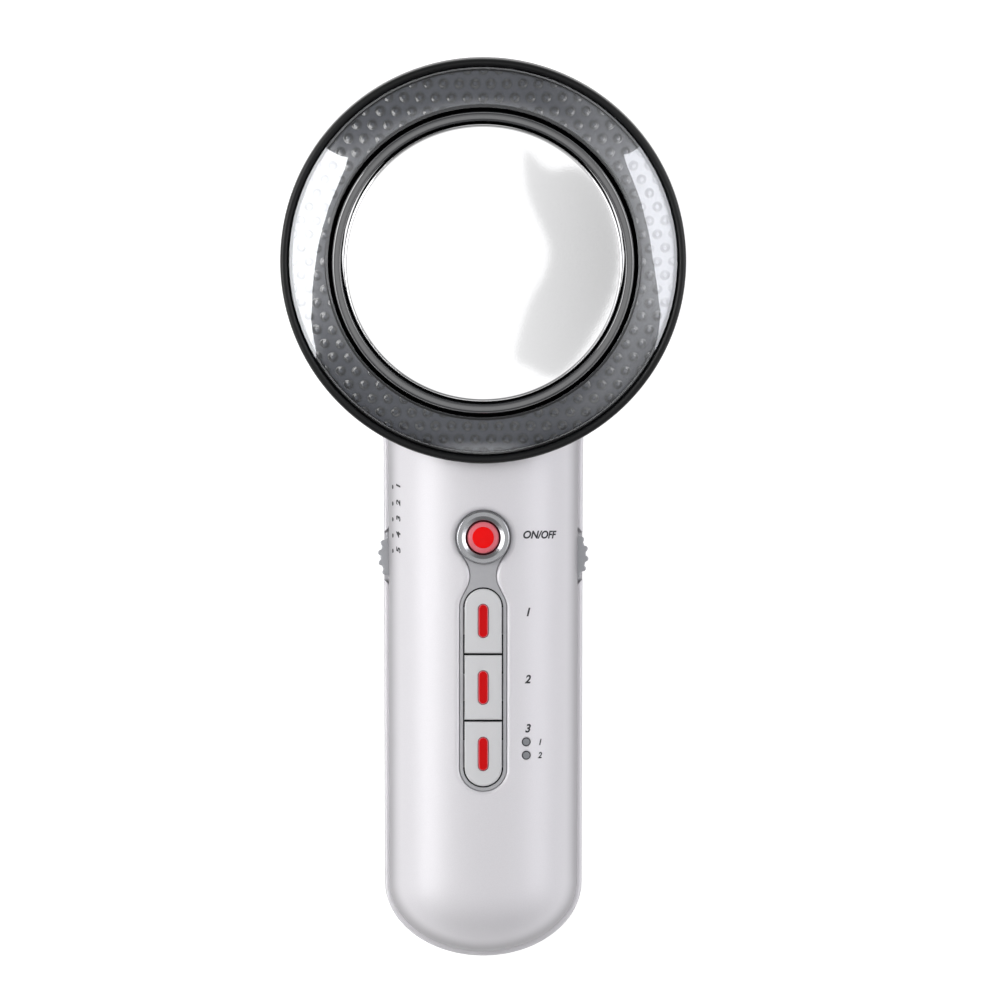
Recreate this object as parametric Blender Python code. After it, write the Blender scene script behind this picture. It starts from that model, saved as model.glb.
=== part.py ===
"""Hand-held body slimming massager: ultrasonic probe, infrared ring and muscle stimulation in one wand.

Metres, +Z up. The device lies on its back as it is laid down on a table: the handle runs along Y with its
rounded end at -Y, the round treatment head is at +Y and its face looks up. The origin is at the middle of
the footprint, on the table.
"""

import math

import bmesh
import bpy
from mathutils import Matrix, Vector

MM = 0.001

# Gaps that every fit uses
PARTING_GAP = 0.3 * MM
SLIDE_GAP = 0.3 * MM
SEAT_GAP = 0.2 * MM
OVERRUN = 3 * MM
WELD_DISTANCE = 0.0001 * MM

# Body
BODY_LENGTH = 205 * MM
HANDLE_HALF_WIDTH = 22.5 * MM
NECK_HALF_WIDTH = 22.8 * MM
REAR_DEPTH = 20 * MM
FRONT_RISE = 19.5 * MM
FRONT_INSET = 1.1 * MM
END_ROUND = 17.1 * MM
JACK_SINK = 2.2 * MM
JACK_DROP = 5.7 * MM
WALL = 2 * MM
LIP_CHAMFER = 0.7 * MM
BACK_ARCH = 3 * MM
ARCH_LENGTH = 86 * MM
NECK_FILLET = 12 * MM
FRONT_SQUARENESS = 2.2
REAR_SQUARENESS = 2.3

# Head
HEAD_TILT = math.radians(5)
RIM_ABOVE_FRONT = 8 * MM
RIM_RADIUS = 46.2 * MM
RIM_WIDTH = 1.8 * MM
RIM_DEPTH = 6 * MM
RIM_EDGE = 0.45 * MM
RIM_FLANGE = 5.7 * MM
RIM_FLANGE_THICKNESS = 2.4 * MM
BOWL_INSET = 2.7 * MM
BOWL_FLAT_RADIUS = 16 * MM
BOWL_OFFSET = 1.5 * MM
SEAT_OVERHANG = 1 * MM
LEDGE_THICKNESS = 2 * MM
NECK_WALL_OVERLAP = 1.5 * MM
LUG_RADIUS = 2.6 * MM
LUG_OFFSET = 0.5 * MM
LUG_TURNS = [math.radians(degrees) for degrees in (90, 210, 330)]

# Resolution
ROUND_STEPS = 32
INNER_ROUND_STEPS = 24
SMALL_ROUND_STEPS = 12
HOLE_STEPS = 10
SECTION_STEPS = 16
INNER_SECTION_STEPS = 10
CROWN_STEPS = 32
END_STEPS = 5
TIP_ANGLE = math.radians(84)
ARCH_STEPS = 5
FILLET_STEPS = 3
BOWL_STEPS = 5
SIDE_STEPS = 3
EDGE_STEPS = 2
LUG_STEPS = 5
BORE_STEPS = 8
CORNER_STEPS = 2
SLOT_STEPS = 6
SHARP_ANGLE = math.radians(35)

# Pieces whose cuts lie so close together that the exact solver leaves slits between them
CLOSE_CUTS = ("front_shell", "rear_shell", "rim_ring", "key_panel", "mode_key_1", "mode_key_2", "mode_key_3")

END_Y = -BODY_LENGTH / 2
HEAD_Y = BODY_LENGTH / 2 - RIM_RADIUS * math.cos(HEAD_TILT) - (RIM_DEPTH - RIM_EDGE) * math.sin(HEAD_TILT)
BOWL_Y = HEAD_Y + BOWL_OFFSET
PARTING_Z = REAR_DEPTH
FRONT_Z = PARTING_Z + FRONT_RISE
RIM_HEIGHT = FRONT_Z + RIM_ABOVE_FRONT
HANDLE_LENGTH = BODY_LENGTH - 2 * RIM_RADIUS
BOWL_RADIUS = RIM_RADIUS - BOWL_INSET
SEAT_RADIUS = RIM_RADIUS - SEAT_OVERHANG
SEAT_LEVEL = -RIM_DEPTH - SEAT_GAP
LUG_BORE_RADIUS = RIM_RADIUS - RIM_FLANGE
LUG_REACH = LUG_BORE_RADIUS + LUG_OFFSET
LUG_INNER_RADIUS = LUG_REACH - LUG_RADIUS - SEAT_GAP
HEAD_FRAME = Matrix.Translation((0, HEAD_Y, RIM_HEIGHT)) @ Matrix.Rotation(HEAD_TILT, 4, "X")
SOCKET_PLACE = (0, END_Y + JACK_SINK, PARTING_Z - JACK_DROP)
SOCKET_FRAME = Matrix.Translation(SOCKET_PLACE) @ Matrix.Rotation(-math.pi / 2, 4, "X")

for leftover in list(bpy.data.objects):
    bpy.data.objects.remove(leftover, do_unlink=True)


def linear(channel):
    """An sRGB channel from 0 to 255 as a linear one."""
    share = channel / 255
    return share / 12.92 if share <= 0.04045 else ((share + 0.055) / 1.055) ** 2.4


def material(name, red, green, blue, roughness, metallic=0.0, alpha=1.0):
    """A Principled material from an sRGB colour."""
    made = bpy.data.materials.new(name)
    made.use_nodes = True
    shader = made.node_tree.nodes["Principled BSDF"]
    shader.inputs["Base Color"].default_value = (linear(red), linear(green), linear(blue), 1)
    shader.inputs["Roughness"].default_value = roughness
    shader.inputs["Metallic"].default_value = metallic
    shader.inputs["Alpha"].default_value = alpha
    return made


SILVER_PAINT = material("silver_painted_abs", 216, 215, 220, 0.35, 0.5)
KEY_PLASTIC = material("pearl_grey_abs", 222, 223, 225, 0.4)
TRIM_GREY = material("grey_painted_trim", 150, 151, 155, 0.4, 0.3)
CHROME = material("chromed_abs", 190, 192, 196, 0.12, 1.0)
RED_LENS = material("red_translucent_acrylic", 225, 18, 24, 0.15)
BLACK_GLOSS = material("black_gloss_abs", 20, 22, 26, 0.15)
BLACK_PLASTIC = material("black_abs", 24, 24, 26, 0.5)
SMOKED = material("smoked_polycarbonate", 86, 90, 98, 0.08, alpha=0.6)
STEEL = material("mirror_stainless_steel", 226, 227, 229, 0.05, 1.0)
SILICONE = material("black_silicone", 28, 28, 30, 0.7)
CERAMIC = material("piezo_ceramic", 214, 206, 188, 0.5)
BOARD = material("green_circuit_board", 24, 92, 52, 0.5)
SWITCH_BLACK = material("black_switch_housing", 30, 30, 32, 0.5)
FERRITE = material("ferrite_core", 60, 60, 64, 0.6)
CAN_SLEEVE = material("capacitor_sleeve", 34, 42, 92, 0.4)
LED_CLEAR = material("water_clear_epoxy", 226, 228, 230, 0.1)
ZINC = material("zinc_plated_steel", 170, 172, 176, 0.35, 1.0)
COPPER = material("enamelled_copper_winding", 158, 92, 52, 0.4, 0.6)
RED_WIRE = material("red_pvc_insulation", 190, 30, 30, 0.5)
BLACK_WIRE = material("black_pvc_insulation", 26, 26, 28, 0.5)


def object_from(name, bm, surface=None, frame=None, origin=(0, 0, 0)):
    """The named object of a bmesh, smooth shaded with its hard edges kept."""
    bmesh.ops.remove_doubles(bm, verts=bm.verts, dist=WELD_DISTANCE)
    bmesh.ops.recalc_face_normals(bm, faces=bm.faces)
    mesh = bpy.data.meshes.new(name)
    bm.to_mesh(mesh)
    bm.free()
    mesh.shade_smooth()
    mesh.set_sharp_from_angle(angle=SHARP_ANGLE)
    made = bpy.data.objects.new(name, mesh)
    if surface:
        made.data.materials.append(surface)
    made.matrix_world = (frame or Matrix()) @ Matrix.Translation(origin)
    bpy.context.collection.objects.link(made)
    return made


def loft(name, rings, **placing):
    """A solid through closed rings of the same number of points, with both ends filled."""
    bm = bmesh.new()
    rows = [[bm.verts.new(point) for point in ring] for ring in rings]
    for low, high in zip(rows, rows[1:]):
        for i in range(len(low)):
            j = (i + 1) % len(low)
            bm.faces.new((low[i], low[j], high[j], high[i]))
    bm.faces.new(rows[0])
    bm.faces.new(rows[-1])
    return object_from(name, bm, **placing)


def revolve(name, profile, steps=ROUND_STEPS, **placing):
    """A profile of (radius, height) turned about Z: a ring, or a solid if its ends lie on the axis."""
    bm = bmesh.new()
    points = [bm.verts.new((radius, 0, height)) for radius, height in profile]
    edges = [bm.edges.new(pair) for pair in zip(points, points[1:])]
    if profile[0][0] > 0:
        edges.append(bm.edges.new((points[-1], points[0])))
    bmesh.ops.spin(
        bm, geom=points + edges, axis=(0, 0, 1), cent=(0, 0, 0), steps=steps, angle=2 * math.pi
    )
    bmesh.ops.remove_doubles(bm, verts=bm.verts, dist=WELD_DISTANCE)
    return object_from(name, bm, **placing)


def prism(name, outline, low, high, **placing):
    """An outline in XY extruded from low to high."""
    bm = bmesh.new()
    face = bm.faces.new([bm.verts.new((x, y, low)) for x, y in outline])
    raised = bmesh.ops.extrude_face_region(bm, geom=[face])["geom"]
    lifted = [item for item in raised if isinstance(item, bmesh.types.BMVert)]
    bmesh.ops.translate(bm, vec=(0, 0, high - low), verts=lifted)
    return object_from(name, bm, **placing)


def box(name, low, high, **placing):
    """A box from its lowest to its highest corner."""
    outline = [(low[0], low[1]), (high[0], low[1]), (high[0], high[1]), (low[0], high[1])]
    return prism(name, outline, low[2], high[2], **placing)


def arc(x, y, radius, start, stop, steps=EDGE_STEPS):
    """Points along an arc about (x, y), between two angles in radians."""
    turns = [start + (stop - start) * i / steps for i in range(steps + 1)]
    return [(x + radius * math.cos(turn), y + radius * math.sin(turn)) for turn in turns]


def circle(radius, x=0.0, y=0.0, steps=SMALL_ROUND_STEPS):
    """A circle's outline."""
    return arc(x, y, radius, 0, 2 * math.pi, steps)[:-1]


def rounded_rectangle(half_x, half_y, corner):
    """A rectangle's outline with rounded corners, about the origin."""
    outline = []
    for quarter, (side_x, side_y) in enumerate(((1, 1), (-1, 1), (-1, -1), (1, -1))):
        start = math.pi / 2 * quarter
        x, y = side_x * (half_x - corner), side_y * (half_y - corner)
        outline += arc(x, y, corner, start, start + math.pi / 2, CORNER_STEPS)
    return outline


def slot_outline(half_width, low, high, round_low=True, round_high=True, steps=SLOT_STEPS):
    """A slot along Y between low and high, with a half round at either end or a square one."""
    outline = []
    for end, rounded, sign in ((high, round_high, 1), (low, round_low, -1)):
        if rounded:
            start = math.pi * (1 - sign) / 2
            outline += arc(0, end - sign * half_width, half_width, start, start + math.pi, steps)
        else:
            outline += [(sign * half_width, end), (-sign * half_width, end)]
    return outline


def wire(name, points, diameter, surface):
    """An insulated wire along a smooth curve through its points."""
    curve = bpy.data.curves.new(name, "CURVE")
    curve.dimensions = "3D"
    curve.bevel_depth = diameter / 2
    curve.bevel_resolution = 1
    curve.use_fill_caps = True
    route = smooth_route([Vector(point) for point in points])
    spline = curve.splines.new("POLY")
    spline.points.add(len(route) - 1)
    for place, point in zip(spline.points, route):
        place.co = (*point, 1)
    curve.materials.append(surface)
    made = bpy.data.objects.new(name, curve)
    bpy.context.collection.objects.link(made)


def smooth_route(points, steps=3):
    """Points of a Catmull-Rom curve through the given ones."""
    padded = [2 * points[0] - points[1], *points, 2 * points[-1] - points[-2]]
    route = []
    for before, start, stop, after in zip(padded, padded[1:], padded[2:], padded[3:]):
        for i in range(steps):
            t = i / steps
            route.append(
                (
                    2 * start
                    + (stop - before) * t
                    + (2 * before - 5 * start + 4 * stop - after) * t**2
                    + (3 * start - before - 3 * stop + after) * t**3
                )
                / 2
            )
    return [*route, points[-1]]


def boolean(target, operation, tools):
    """Adds one Boolean for each tool, which then only serves as a guide."""
    for tool in tools:
        modifier = target.modifiers.new(tool.name, "BOOLEAN")
        modifier.operation = operation
        modifier.solver = "MANIFOLD" if target.name in CLOSE_CUTS else "EXACT"
        modifier.object = tool
        tool.hide_render = True
        tool.display_type = "WIRE"


def cut(target, *tools):
    boolean(target, "DIFFERENCE", tools)


def join(target, *tools):
    boolean(target, "UNION", tools)


def keep_inside(target, *tools):
    boolean(target, "INTERSECT", tools)


# Outer form of the handle: half sections of a superellipse, lofted along Y


def half_section(half_width, rise, squareness, steps=SECTION_STEPS):
    """(across, away from the parting plane) of half a superellipse, from one side to the other."""
    power = 2 / squareness
    points = []
    for i in range(steps + 1):
        angle = math.pi * i / steps
        across = math.copysign(abs(math.cos(angle)) ** power, math.cos(angle))
        points.append((across * half_width, abs(math.sin(angle)) ** power * rise))
    return points


def neck_fillet(half_width, radius):
    """Where the neck's fillet starts on the handle's side, and the angle that it turns to meet the bowl."""
    across = half_width + radius
    along = math.sqrt((BOWL_RADIUS + radius) ** 2 - across**2)
    return BOWL_Y - along, math.atan2(along, across)


def handle_stations(inset=0.0, arched=False):
    """(y, half width, share of the full depth) from the handle's rounded end to inside the head."""
    stations = []
    centre = END_Y + END_ROUND
    for i in range(END_STEPS + 1):
        angle = TIP_ANGLE * (1 - i / END_STEPS)
        share = math.cos(angle)
        y = centre - (END_ROUND - inset) * math.sin(angle)
        stations.append((y, (HANDLE_HALF_WIDTH - inset) * share, share))
    fillet_y, fillet_turn = neck_fillet(NECK_HALF_WIDTH, NECK_FILLET)
    if arched:
        start = max(BOWL_Y - BOWL_FLAT_RADIUS - ARCH_LENGTH, centre)
        for i in range(ARCH_STEPS):
            y = start + (fillet_y - start) * i / ARCH_STEPS
            share = (y - centre) / (fillet_y - centre)
            width = HANDLE_HALF_WIDTH + (NECK_HALF_WIDTH - HANDLE_HALF_WIDTH) * share
            if y > centre:
                stations.append((y, width - inset, 1.0))
    for i in range(FILLET_STEPS + 1):
        turn = fillet_turn * i / FILLET_STEPS
        y = fillet_y + NECK_FILLET * math.sin(turn)
        stations.append((y, NECK_HALF_WIDTH + NECK_FILLET * (1 - math.cos(turn)) - inset, 1.0))
    stations.append((BOWL_Y - BOWL_FLAT_RADIUS + inset, stations[-1][1], 1.0))
    return stations


def back_height(y):
    """How far the back of the handle stands off the table at y: a low arch under the neck."""
    stop = BOWL_Y - BOWL_FLAT_RADIUS
    share = (y - (stop - ARCH_LENGTH)) / ARCH_LENGTH
    return BACK_ARCH * math.sin(math.pi * share) ** 2 if 0 < share < 1 else 0.0


def front_rise(across, depth):
    """Height of a surface that lies depth under the front shell's, at a distance from the middle."""
    share = across / (HANDLE_HALF_WIDTH - FRONT_INSET - depth)
    return PARTING_Z + (FRONT_RISE - depth) * (1 - share**FRONT_SQUARENESS) ** (1 / FRONT_SQUARENESS)


def front_half(name, depth, foot, steps=SECTION_STEPS, **placing):
    """The front half of the handle, depth under its surface, with its flat side at height foot."""
    rings = []
    for y, half_width, share in handle_stations(FRONT_INSET + depth):
        section = half_section(half_width, (FRONT_RISE - depth) * share, FRONT_SQUARENESS, steps)
        ring = [(x, y, PARTING_Z + rise) for x, rise in section]
        ring[0] = (ring[0][0], y, foot)
        ring[-1] = (ring[-1][0], y, foot)
        rings.append(ring)
    return loft(name, rings, **placing)


def rear_half(name, inset, top, chamfer=0.0, steps=SECTION_STEPS, **placing):
    """The rear half of the handle, brought in by inset, with its flat side at height top."""
    rings = []
    for y, half_width, share in handle_stations(inset, arched=True):
        depth = (REAR_DEPTH - back_height(y) - inset) * share
        section = half_section(half_width, depth, REAR_SQUARENESS, steps)
        ring = [(x, y, PARTING_Z - drop) for x, drop in section]
        side = ring[0][0]
        ring[0] = (side, y, top - chamfer)
        ring[-1] = (-side, y, top - chamfer)
        if chamfer:
            ring = [(side - chamfer * share, y, top), *ring, (chamfer * share - side, y, top)]
        rings.append(ring)
    return loft(name, rings, **placing)


def tilted_ring(centre, radius, tilt, steps):
    """A circle round centre, tipped about X by tilt."""
    ring = []
    for i in range(steps):
        turn = 2 * math.pi * i / steps
        along = Vector((0, math.cos(tilt), math.sin(tilt)))
        ring.append(centre + radius * (math.cos(turn) * Vector((1, 0, 0)) + math.sin(turn) * along))
    return ring


def head_side(name, inset, foot, top, steps=ROUND_STEPS):
    """The head's side wall as a solid, from the parting circle up to the tilted circle under the rim."""
    low = Vector((0, BOWL_Y, PARTING_Z))
    high = HEAD_FRAME @ Vector((0, 0, -RIM_DEPTH))
    low_radius = BOWL_RADIUS - FRONT_INSET - inset
    rings = [tilted_ring(Vector((0, BOWL_Y, foot)), low_radius, 0, steps)]
    for i in range(1, SIDE_STEPS + 1):
        share = i / SIDE_STEPS
        swell = math.sin(math.pi / 2 * share)
        radius = low_radius + (SEAT_RADIUS - inset - low_radius) * swell
        rings.append(tilted_ring(low.lerp(high, share), radius, HEAD_TILT * share, steps))
    rings.append(tilted_ring(HEAD_FRAME @ Vector((0, 0, top)), SEAT_RADIUS - inset, HEAD_TILT, steps))
    return loft(name, rings)


def bowl_back(name, inset, top, chamfer=0.0, steps=ROUND_STEPS):
    """The head's rounded back as a solid, with the flat that it rests on."""
    wide = BOWL_RADIUS - BOWL_FLAT_RADIUS - inset
    deep = REAR_DEPTH - inset
    profile = [(0, inset)]
    for i in range(BOWL_STEPS + 1):
        turn = math.pi / 2 * (1 - i / BOWL_STEPS)
        profile.append((BOWL_FLAT_RADIUS + wide * math.cos(turn), PARTING_Z - deep * math.sin(turn)))
    edge = profile.pop()[0]
    profile += [(edge, top - chamfer)]
    if chamfer:
        profile.append((edge - chamfer, top))
    profile.append((0, top))
    return revolve(name, profile, steps, origin=(0, BOWL_Y, 0))


# Places along the handle, as shares of its length from the rim's near edge to its end
POWER_SHARE = 0.14787
KEYS_SHARE = 0.25133
KEY_LENGTH_SHARE = 0.13055
WHEEL_SHARE = 0.18472
NECK_Y = HEAD_Y - RIM_RADIUS
POWER_Y = NECK_Y - POWER_SHARE * HANDLE_LENGTH
KEYS_TOP_Y = NECK_Y - KEYS_SHARE * HANDLE_LENGTH
WHEEL_Y = NECK_Y - WHEEL_SHARE * HANDLE_LENGTH

# Power ring and button
RING_RADIUS = 6 * MM
RING_CREST = 0.9 * MM
RING_CREST_WIDTH = 0.5 * MM
RING_EDGE = 0.6 * MM
RING_BORE_GAP = 0.4 * MM
RING_SINK = 1.2 * MM
POWER_BUTTON_RADIUS = 3.6 * MM
POWER_BUTTON_FLANGE = 0.9 * MM
POWER_BUTTON_SIDE = 0.1 * MM
POWER_BUTTON_DOME = 0.9 * MM
POWER_BUTTON_STEPS = 3
RING_BORE_RADIUS = POWER_BUTTON_RADIUS + RING_BORE_GAP

# Key panel and keys
KEY_COUNT = 3
KEY_LENGTH = KEY_LENGTH_SHARE * HANDLE_LENGTH
KEY_SPACING = 0.45 * MM
KEY_HALF_WIDTH = 4.25 * MM
KEY_SINK = 0.25 * MM
KEY_FLANGE = 1.2 * MM
KEY_FLANGE_THICKNESS = 1 * MM
KEY_POST_RADIUS = 1.5 * MM
KEY_POST_LENGTH = 1.3 * MM
KEY_TRAVEL = 0.6 * MM
PANEL_BORDER = 0.8 * MM
PANEL_SINK = 0.35 * MM
PANEL_BEVEL = 0.9 * MM
PANEL_NECK_HALF_WIDTH = 2.95 * MM
PANEL_FLANGE = 1.4 * MM
PANEL_FLANGE_THICKNESS = 1.1 * MM
BAR_HALF_WIDTH = 1.1 * MM
BAR_LENGTH_SHARE = 0.517
BAR_LENGTH = BAR_LENGTH_SHARE * KEY_LENGTH
BAR_GAP = 0.12 * MM

PANEL_HALF_WIDTH = KEY_HALF_WIDTH + SLIDE_GAP + PANEL_BORDER
PANEL_HEAD_RADIUS = RING_RADIUS + SEAT_GAP
PANEL_REACH = max(PANEL_HALF_WIDTH, PANEL_HEAD_RADIUS) + PANEL_FLANGE
PANEL_FLANGE_TOP = front_rise(PANEL_REACH, WALL) - SEAT_GAP
PANEL_BOTTOM = PANEL_FLANGE_TOP - PANEL_FLANGE_THICKNESS
KEY_FLANGE_TOP = PANEL_BOTTOM - SLIDE_GAP
KEY_BOTTOM = KEY_FLANGE_TOP - KEY_FLANGE_THICKNESS
KEY_POST_END = KEY_BOTTOM - KEY_POST_LENGTH
KEYS_BOTTOM_Y = KEYS_TOP_Y - KEY_COUNT * KEY_LENGTH - (KEY_COUNT - 1) * KEY_SPACING

NECK_STEPS = 3
KEYHOLE_STEPS = 7
WAIST_LIMIT_SHARE = 0.9


def keyhole(grow=0.0):
    """The panel's outline: round under the power ring, a waist, then a slot round the three keys."""
    half_width = PANEL_HALF_WIDTH + grow
    waist = PANEL_NECK_HALF_WIDTH + grow
    head = PANEL_HEAD_RADIUS + grow
    low = KEYS_BOTTOM_Y - SLIDE_GAP - PANEL_BORDER - grow
    shoulder = KEYS_TOP_Y + SLIDE_GAP + PANEL_BORDER - PANEL_HALF_WIDTH
    meets = math.asin(min(waist / head, WAIST_LIMIT_SHARE))
    places = [
        (half_width, shoulder),
        (waist, (POWER_Y - PANEL_HEAD_RADIUS + KEYS_TOP_Y) / 2),
        (head * math.sin(meets), POWER_Y - head * math.cos(meets)),
    ]
    side = [places[0]]
    for (start_x, start_y), (stop_x, stop_y) in zip(places, places[1:]):
        for i in range(1, NECK_STEPS + 1):
            share = i / NECK_STEPS
            ease = share * share * (3 - 2 * share)
            side.append((start_x + (stop_x - start_x) * ease, start_y + (stop_y - start_y) * share))
    for i in range(1, KEYHOLE_STEPS):
        turn = meets + (math.pi - meets) * i / KEYHOLE_STEPS
        side.append((head * math.sin(turn), POWER_Y - head * math.cos(turn)))
    bottom = arc(0, low + half_width, half_width, math.pi, 2 * math.pi, KEYHOLE_STEPS)
    return bottom + side + [(0, POWER_Y + head)] + [(-x, y) for x, y in reversed(side)]


def key_span(index):
    """Lowest and highest y of a key, the first one nearest the power button."""
    high = KEYS_TOP_Y - index * (KEY_LENGTH + KEY_SPACING)
    return high - KEY_LENGTH, high


# Case screws
BOSS_RADIUS = 4.2 * MM
FRONT_BOSS_RADIUS = 3.2 * MM
BOSS_RIB = 2 * MM
SHELL_SCREW_HEAD_RADIUS = 2.5 * MM
SHELL_SCREW_HEAD_HEIGHT = 1.8 * MM
SHELL_SCREW_RADIUS = 1.3 * MM
SHELL_SCREW_LENGTH = 16 * MM
SCREW_SEAT_Z = 12 * MM
PILOT_GAP = 0.1 * MM
LOW_BOSS_X = 12 * MM
LOW_BOSS_FROM_BOARD = 6.5 * MM
HEAD_BOSS_ANGLE = math.radians(50)
HEAD_BOSS_INSET = 7 * MM
HEAD_BOSS_HEIGHT = 12 * MM

# Thumbwheels
WHEEL_RADIUS = 8 * MM
WHEEL_PROUD = 1.3 * MM
WHEEL_WIDTH = 3 * MM
WHEEL_TEETH = 20
TOOTH_HEIGHT = 0.6 * MM
TOOTH_SHARES = ((0, 0), (0.45, 0), (0.6, 1), (0.85, 1))
WHEEL_BORE_RADIUS = 1.3 * MM
WHEEL_SLOT_GAP = 0.5 * MM
WHEEL_X = NECK_HALF_WIDTH + WHEEL_PROUD - WHEEL_RADIUS
CONTROL_OUTER = 1.5 * MM
CONTROL_INNER = 6.5 * MM
CONTROL_HALF_LENGTH = 4.5 * MM
PIN_HEAD_RADIUS = 2 * MM
PIN_HEAD_THICKNESS = 1 * MM

# Power socket
JACK_NOSE_RADIUS = 4.2 * MM
JACK_BORE_RADIUS = 2.8 * MM
JACK_BORE_DEPTH = 9 * MM
JACK_NOSE_LENGTH = 5 * MM
JACK_BODY_LENGTH = 10 * MM
JACK_BODY_HALF_WIDTH = 5 * MM
JACK_PIN_RADIUS = 1 * MM
JACK_PIN_SINK = 1 * MM
JACK_HOLE_GAP = 0.35 * MM

# Control board and what stands on it
BOARD_THICKNESS = 1.6 * MM
SWITCH_HEIGHT = 2.6 * MM
SWITCH_HALF_WIDTH = 2.3 * MM
SWITCH_WELL_DEPTH = 1.4 * MM
STEM_RADIUS = 1.1 * MM
STEM_LENGTH = 2.2 * MM
CHIP_HALF_WIDTH = 0.9 * MM
CHIP_HEIGHT = 1 * MM
CONTROL_BOARD_HALF_WIDTH = 14.5 * MM
CONTROL_BOARD_MARGIN = 2.5 * MM
BOARD_PAST_POWER_SHARE = 0.10657
BOARD_POST_RADIUS = 2.2 * MM
BOARD_POST_INSET = 3.3 * MM
SMALL_SCREW_HEAD_RADIUS = 1.6 * MM
SMALL_SCREW_HEAD_HEIGHT = 1.1 * MM
SMALL_SCREW_RADIUS = 0.8 * MM
BOARD_SCREW_LENGTH = 6 * MM
STEM_TOP = KEY_POST_END - SEAT_GAP
STEM_BOTTOM = STEM_TOP - STEM_LENGTH
SWITCH_TOP = STEM_BOTTOM + KEY_TRAVEL
SWITCH_BOTTOM = SWITCH_TOP - SWITCH_HEIGHT
CONTROL_BOARD_TOP = SWITCH_BOTTOM - SEAT_GAP
CONTROL_BOARD_BOTTOM = CONTROL_BOARD_TOP - BOARD_THICKNESS
CONTROL_BOARD_LOW_Y = KEYS_BOTTOM_Y - CONTROL_BOARD_MARGIN
CONTROL_BOARD_HIGH_Y = POWER_Y + BOARD_PAST_POWER_SHARE * HANDLE_LENGTH

# Transformer and capacitor under the board
CORE_HALF_WIDTH = 9 * MM
CORE_HALF_LENGTH = 3.5 * MM
CORE_HEIGHT = 14 * MM
CORE_LEG = 2.5 * MM
CORE_YOKE = 2.8 * MM
WINDING_BUILD = 3.4 * MM
CAPACITOR_RADIUS = 4 * MM
CAPACITOR_LENGTH = 11 * MM
CAPACITOR_GROOVE = 0.4 * MM
CAPACITOR_GROOVE_DROP = 1.2 * MM
CAPACITOR_GAP = 1.3 * MM
TRANSFORMER_Y = (KEYS_TOP_Y + KEYS_BOTTOM_Y) / 2
WINDING_REACH = CORE_HALF_LENGTH + SLIDE_GAP + WINDING_BUILD
CAPACITOR_Y = TRANSFORMER_Y - WINDING_REACH - CAPACITOR_GAP - CAPACITOR_RADIUS

# Indicator windows beside the lowest key
INDICATOR_X = 9.8 * MM
INDICATOR_RADIUS = 0.85 * MM
INDICATOR_GAP = 0.15 * MM
INDICATOR_SPACING = 3.05 * MM
INDICATOR_FROM_KEYS_END = 10.1 * MM
INDICATORS_Y = [
    KEYS_BOTTOM_Y + INDICATOR_FROM_KEYS_END,
    KEYS_BOTTOM_Y + INDICATOR_FROM_KEYS_END - INDICATOR_SPACING,
]

# Leads
LEAD_DIAMETER = 1.4 * MM
LEAD_END_GAP = 0.3 * MM

LOW_BOSS_Y = CONTROL_BOARD_LOW_Y - LOW_BOSS_FROM_BOARD
HEAD_BOSS_REACH = BOWL_RADIUS - HEAD_BOSS_INSET
HEAD_BOSS_X = HEAD_BOSS_REACH * math.cos(HEAD_BOSS_ANGLE)
HEAD_BOSS_Y = BOWL_Y + HEAD_BOSS_REACH * math.sin(HEAD_BOSS_ANGLE)
HANDLE_SCREWS = [(-LOW_BOSS_X, LOW_BOSS_Y), (LOW_BOSS_X, LOW_BOSS_Y)]
HEAD_SCREWS = [(-HEAD_BOSS_X, HEAD_BOSS_Y), (HEAD_BOSS_X, HEAD_BOSS_Y)]
BOARD_POST_X = CONTROL_BOARD_HALF_WIDTH - BOARD_POST_INSET
BOARD_POST_LOW_Y = CONTROL_BOARD_LOW_Y + BOARD_POST_INSET
BOARD_POST_HIGH_Y = CONTROL_BOARD_HIGH_Y - BOARD_POST_INSET
BOARD_SCREWS = [(-BOARD_POST_X, BOARD_POST_LOW_Y), (BOARD_POST_X, BOARD_POST_HIGH_Y)]
BOARD_POSTS = BOARD_SCREWS + [(BOARD_POST_X, BOARD_POST_LOW_Y), (-BOARD_POST_X, BOARD_POST_HIGH_Y)]


def wheel_slot(name, side):
    """Clearance for a thumbwheel, through the wall of both shells."""
    reach = WHEEL_WIDTH / 2 + WHEEL_SLOT_GAP
    outline = circle(WHEEL_RADIUS + WHEEL_SLOT_GAP, side * WHEEL_X, WHEEL_Y, INNER_ROUND_STEPS)
    return prism(name, outline, PARTING_Z - reach, PARTING_Z + reach)


def jack_hole(name):
    """The round hole for the power socket, in the rear shell's end."""
    outline = circle(JACK_NOSE_RADIUS + JACK_HOLE_GAP, steps=INNER_ROUND_STEPS)
    return prism(name, outline, -OVERRUN, END_ROUND, frame=SOCKET_FRAME)


def boss_rib(name, x, y, low, high):
    """A rib from a head boss out to the wall behind it."""
    outward = Vector((x, y - BOWL_Y)).normalized()
    across = Vector((-outward.y, outward.x)) * BOSS_RIB / 2
    start = Vector((x, y))
    stop = start + outward * (FRONT_BOSS_RADIUS + WALL + OVERRUN)
    outline = [start - across, stop - across, stop + across, start + across]
    return prism(name, outline, low, high)


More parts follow.
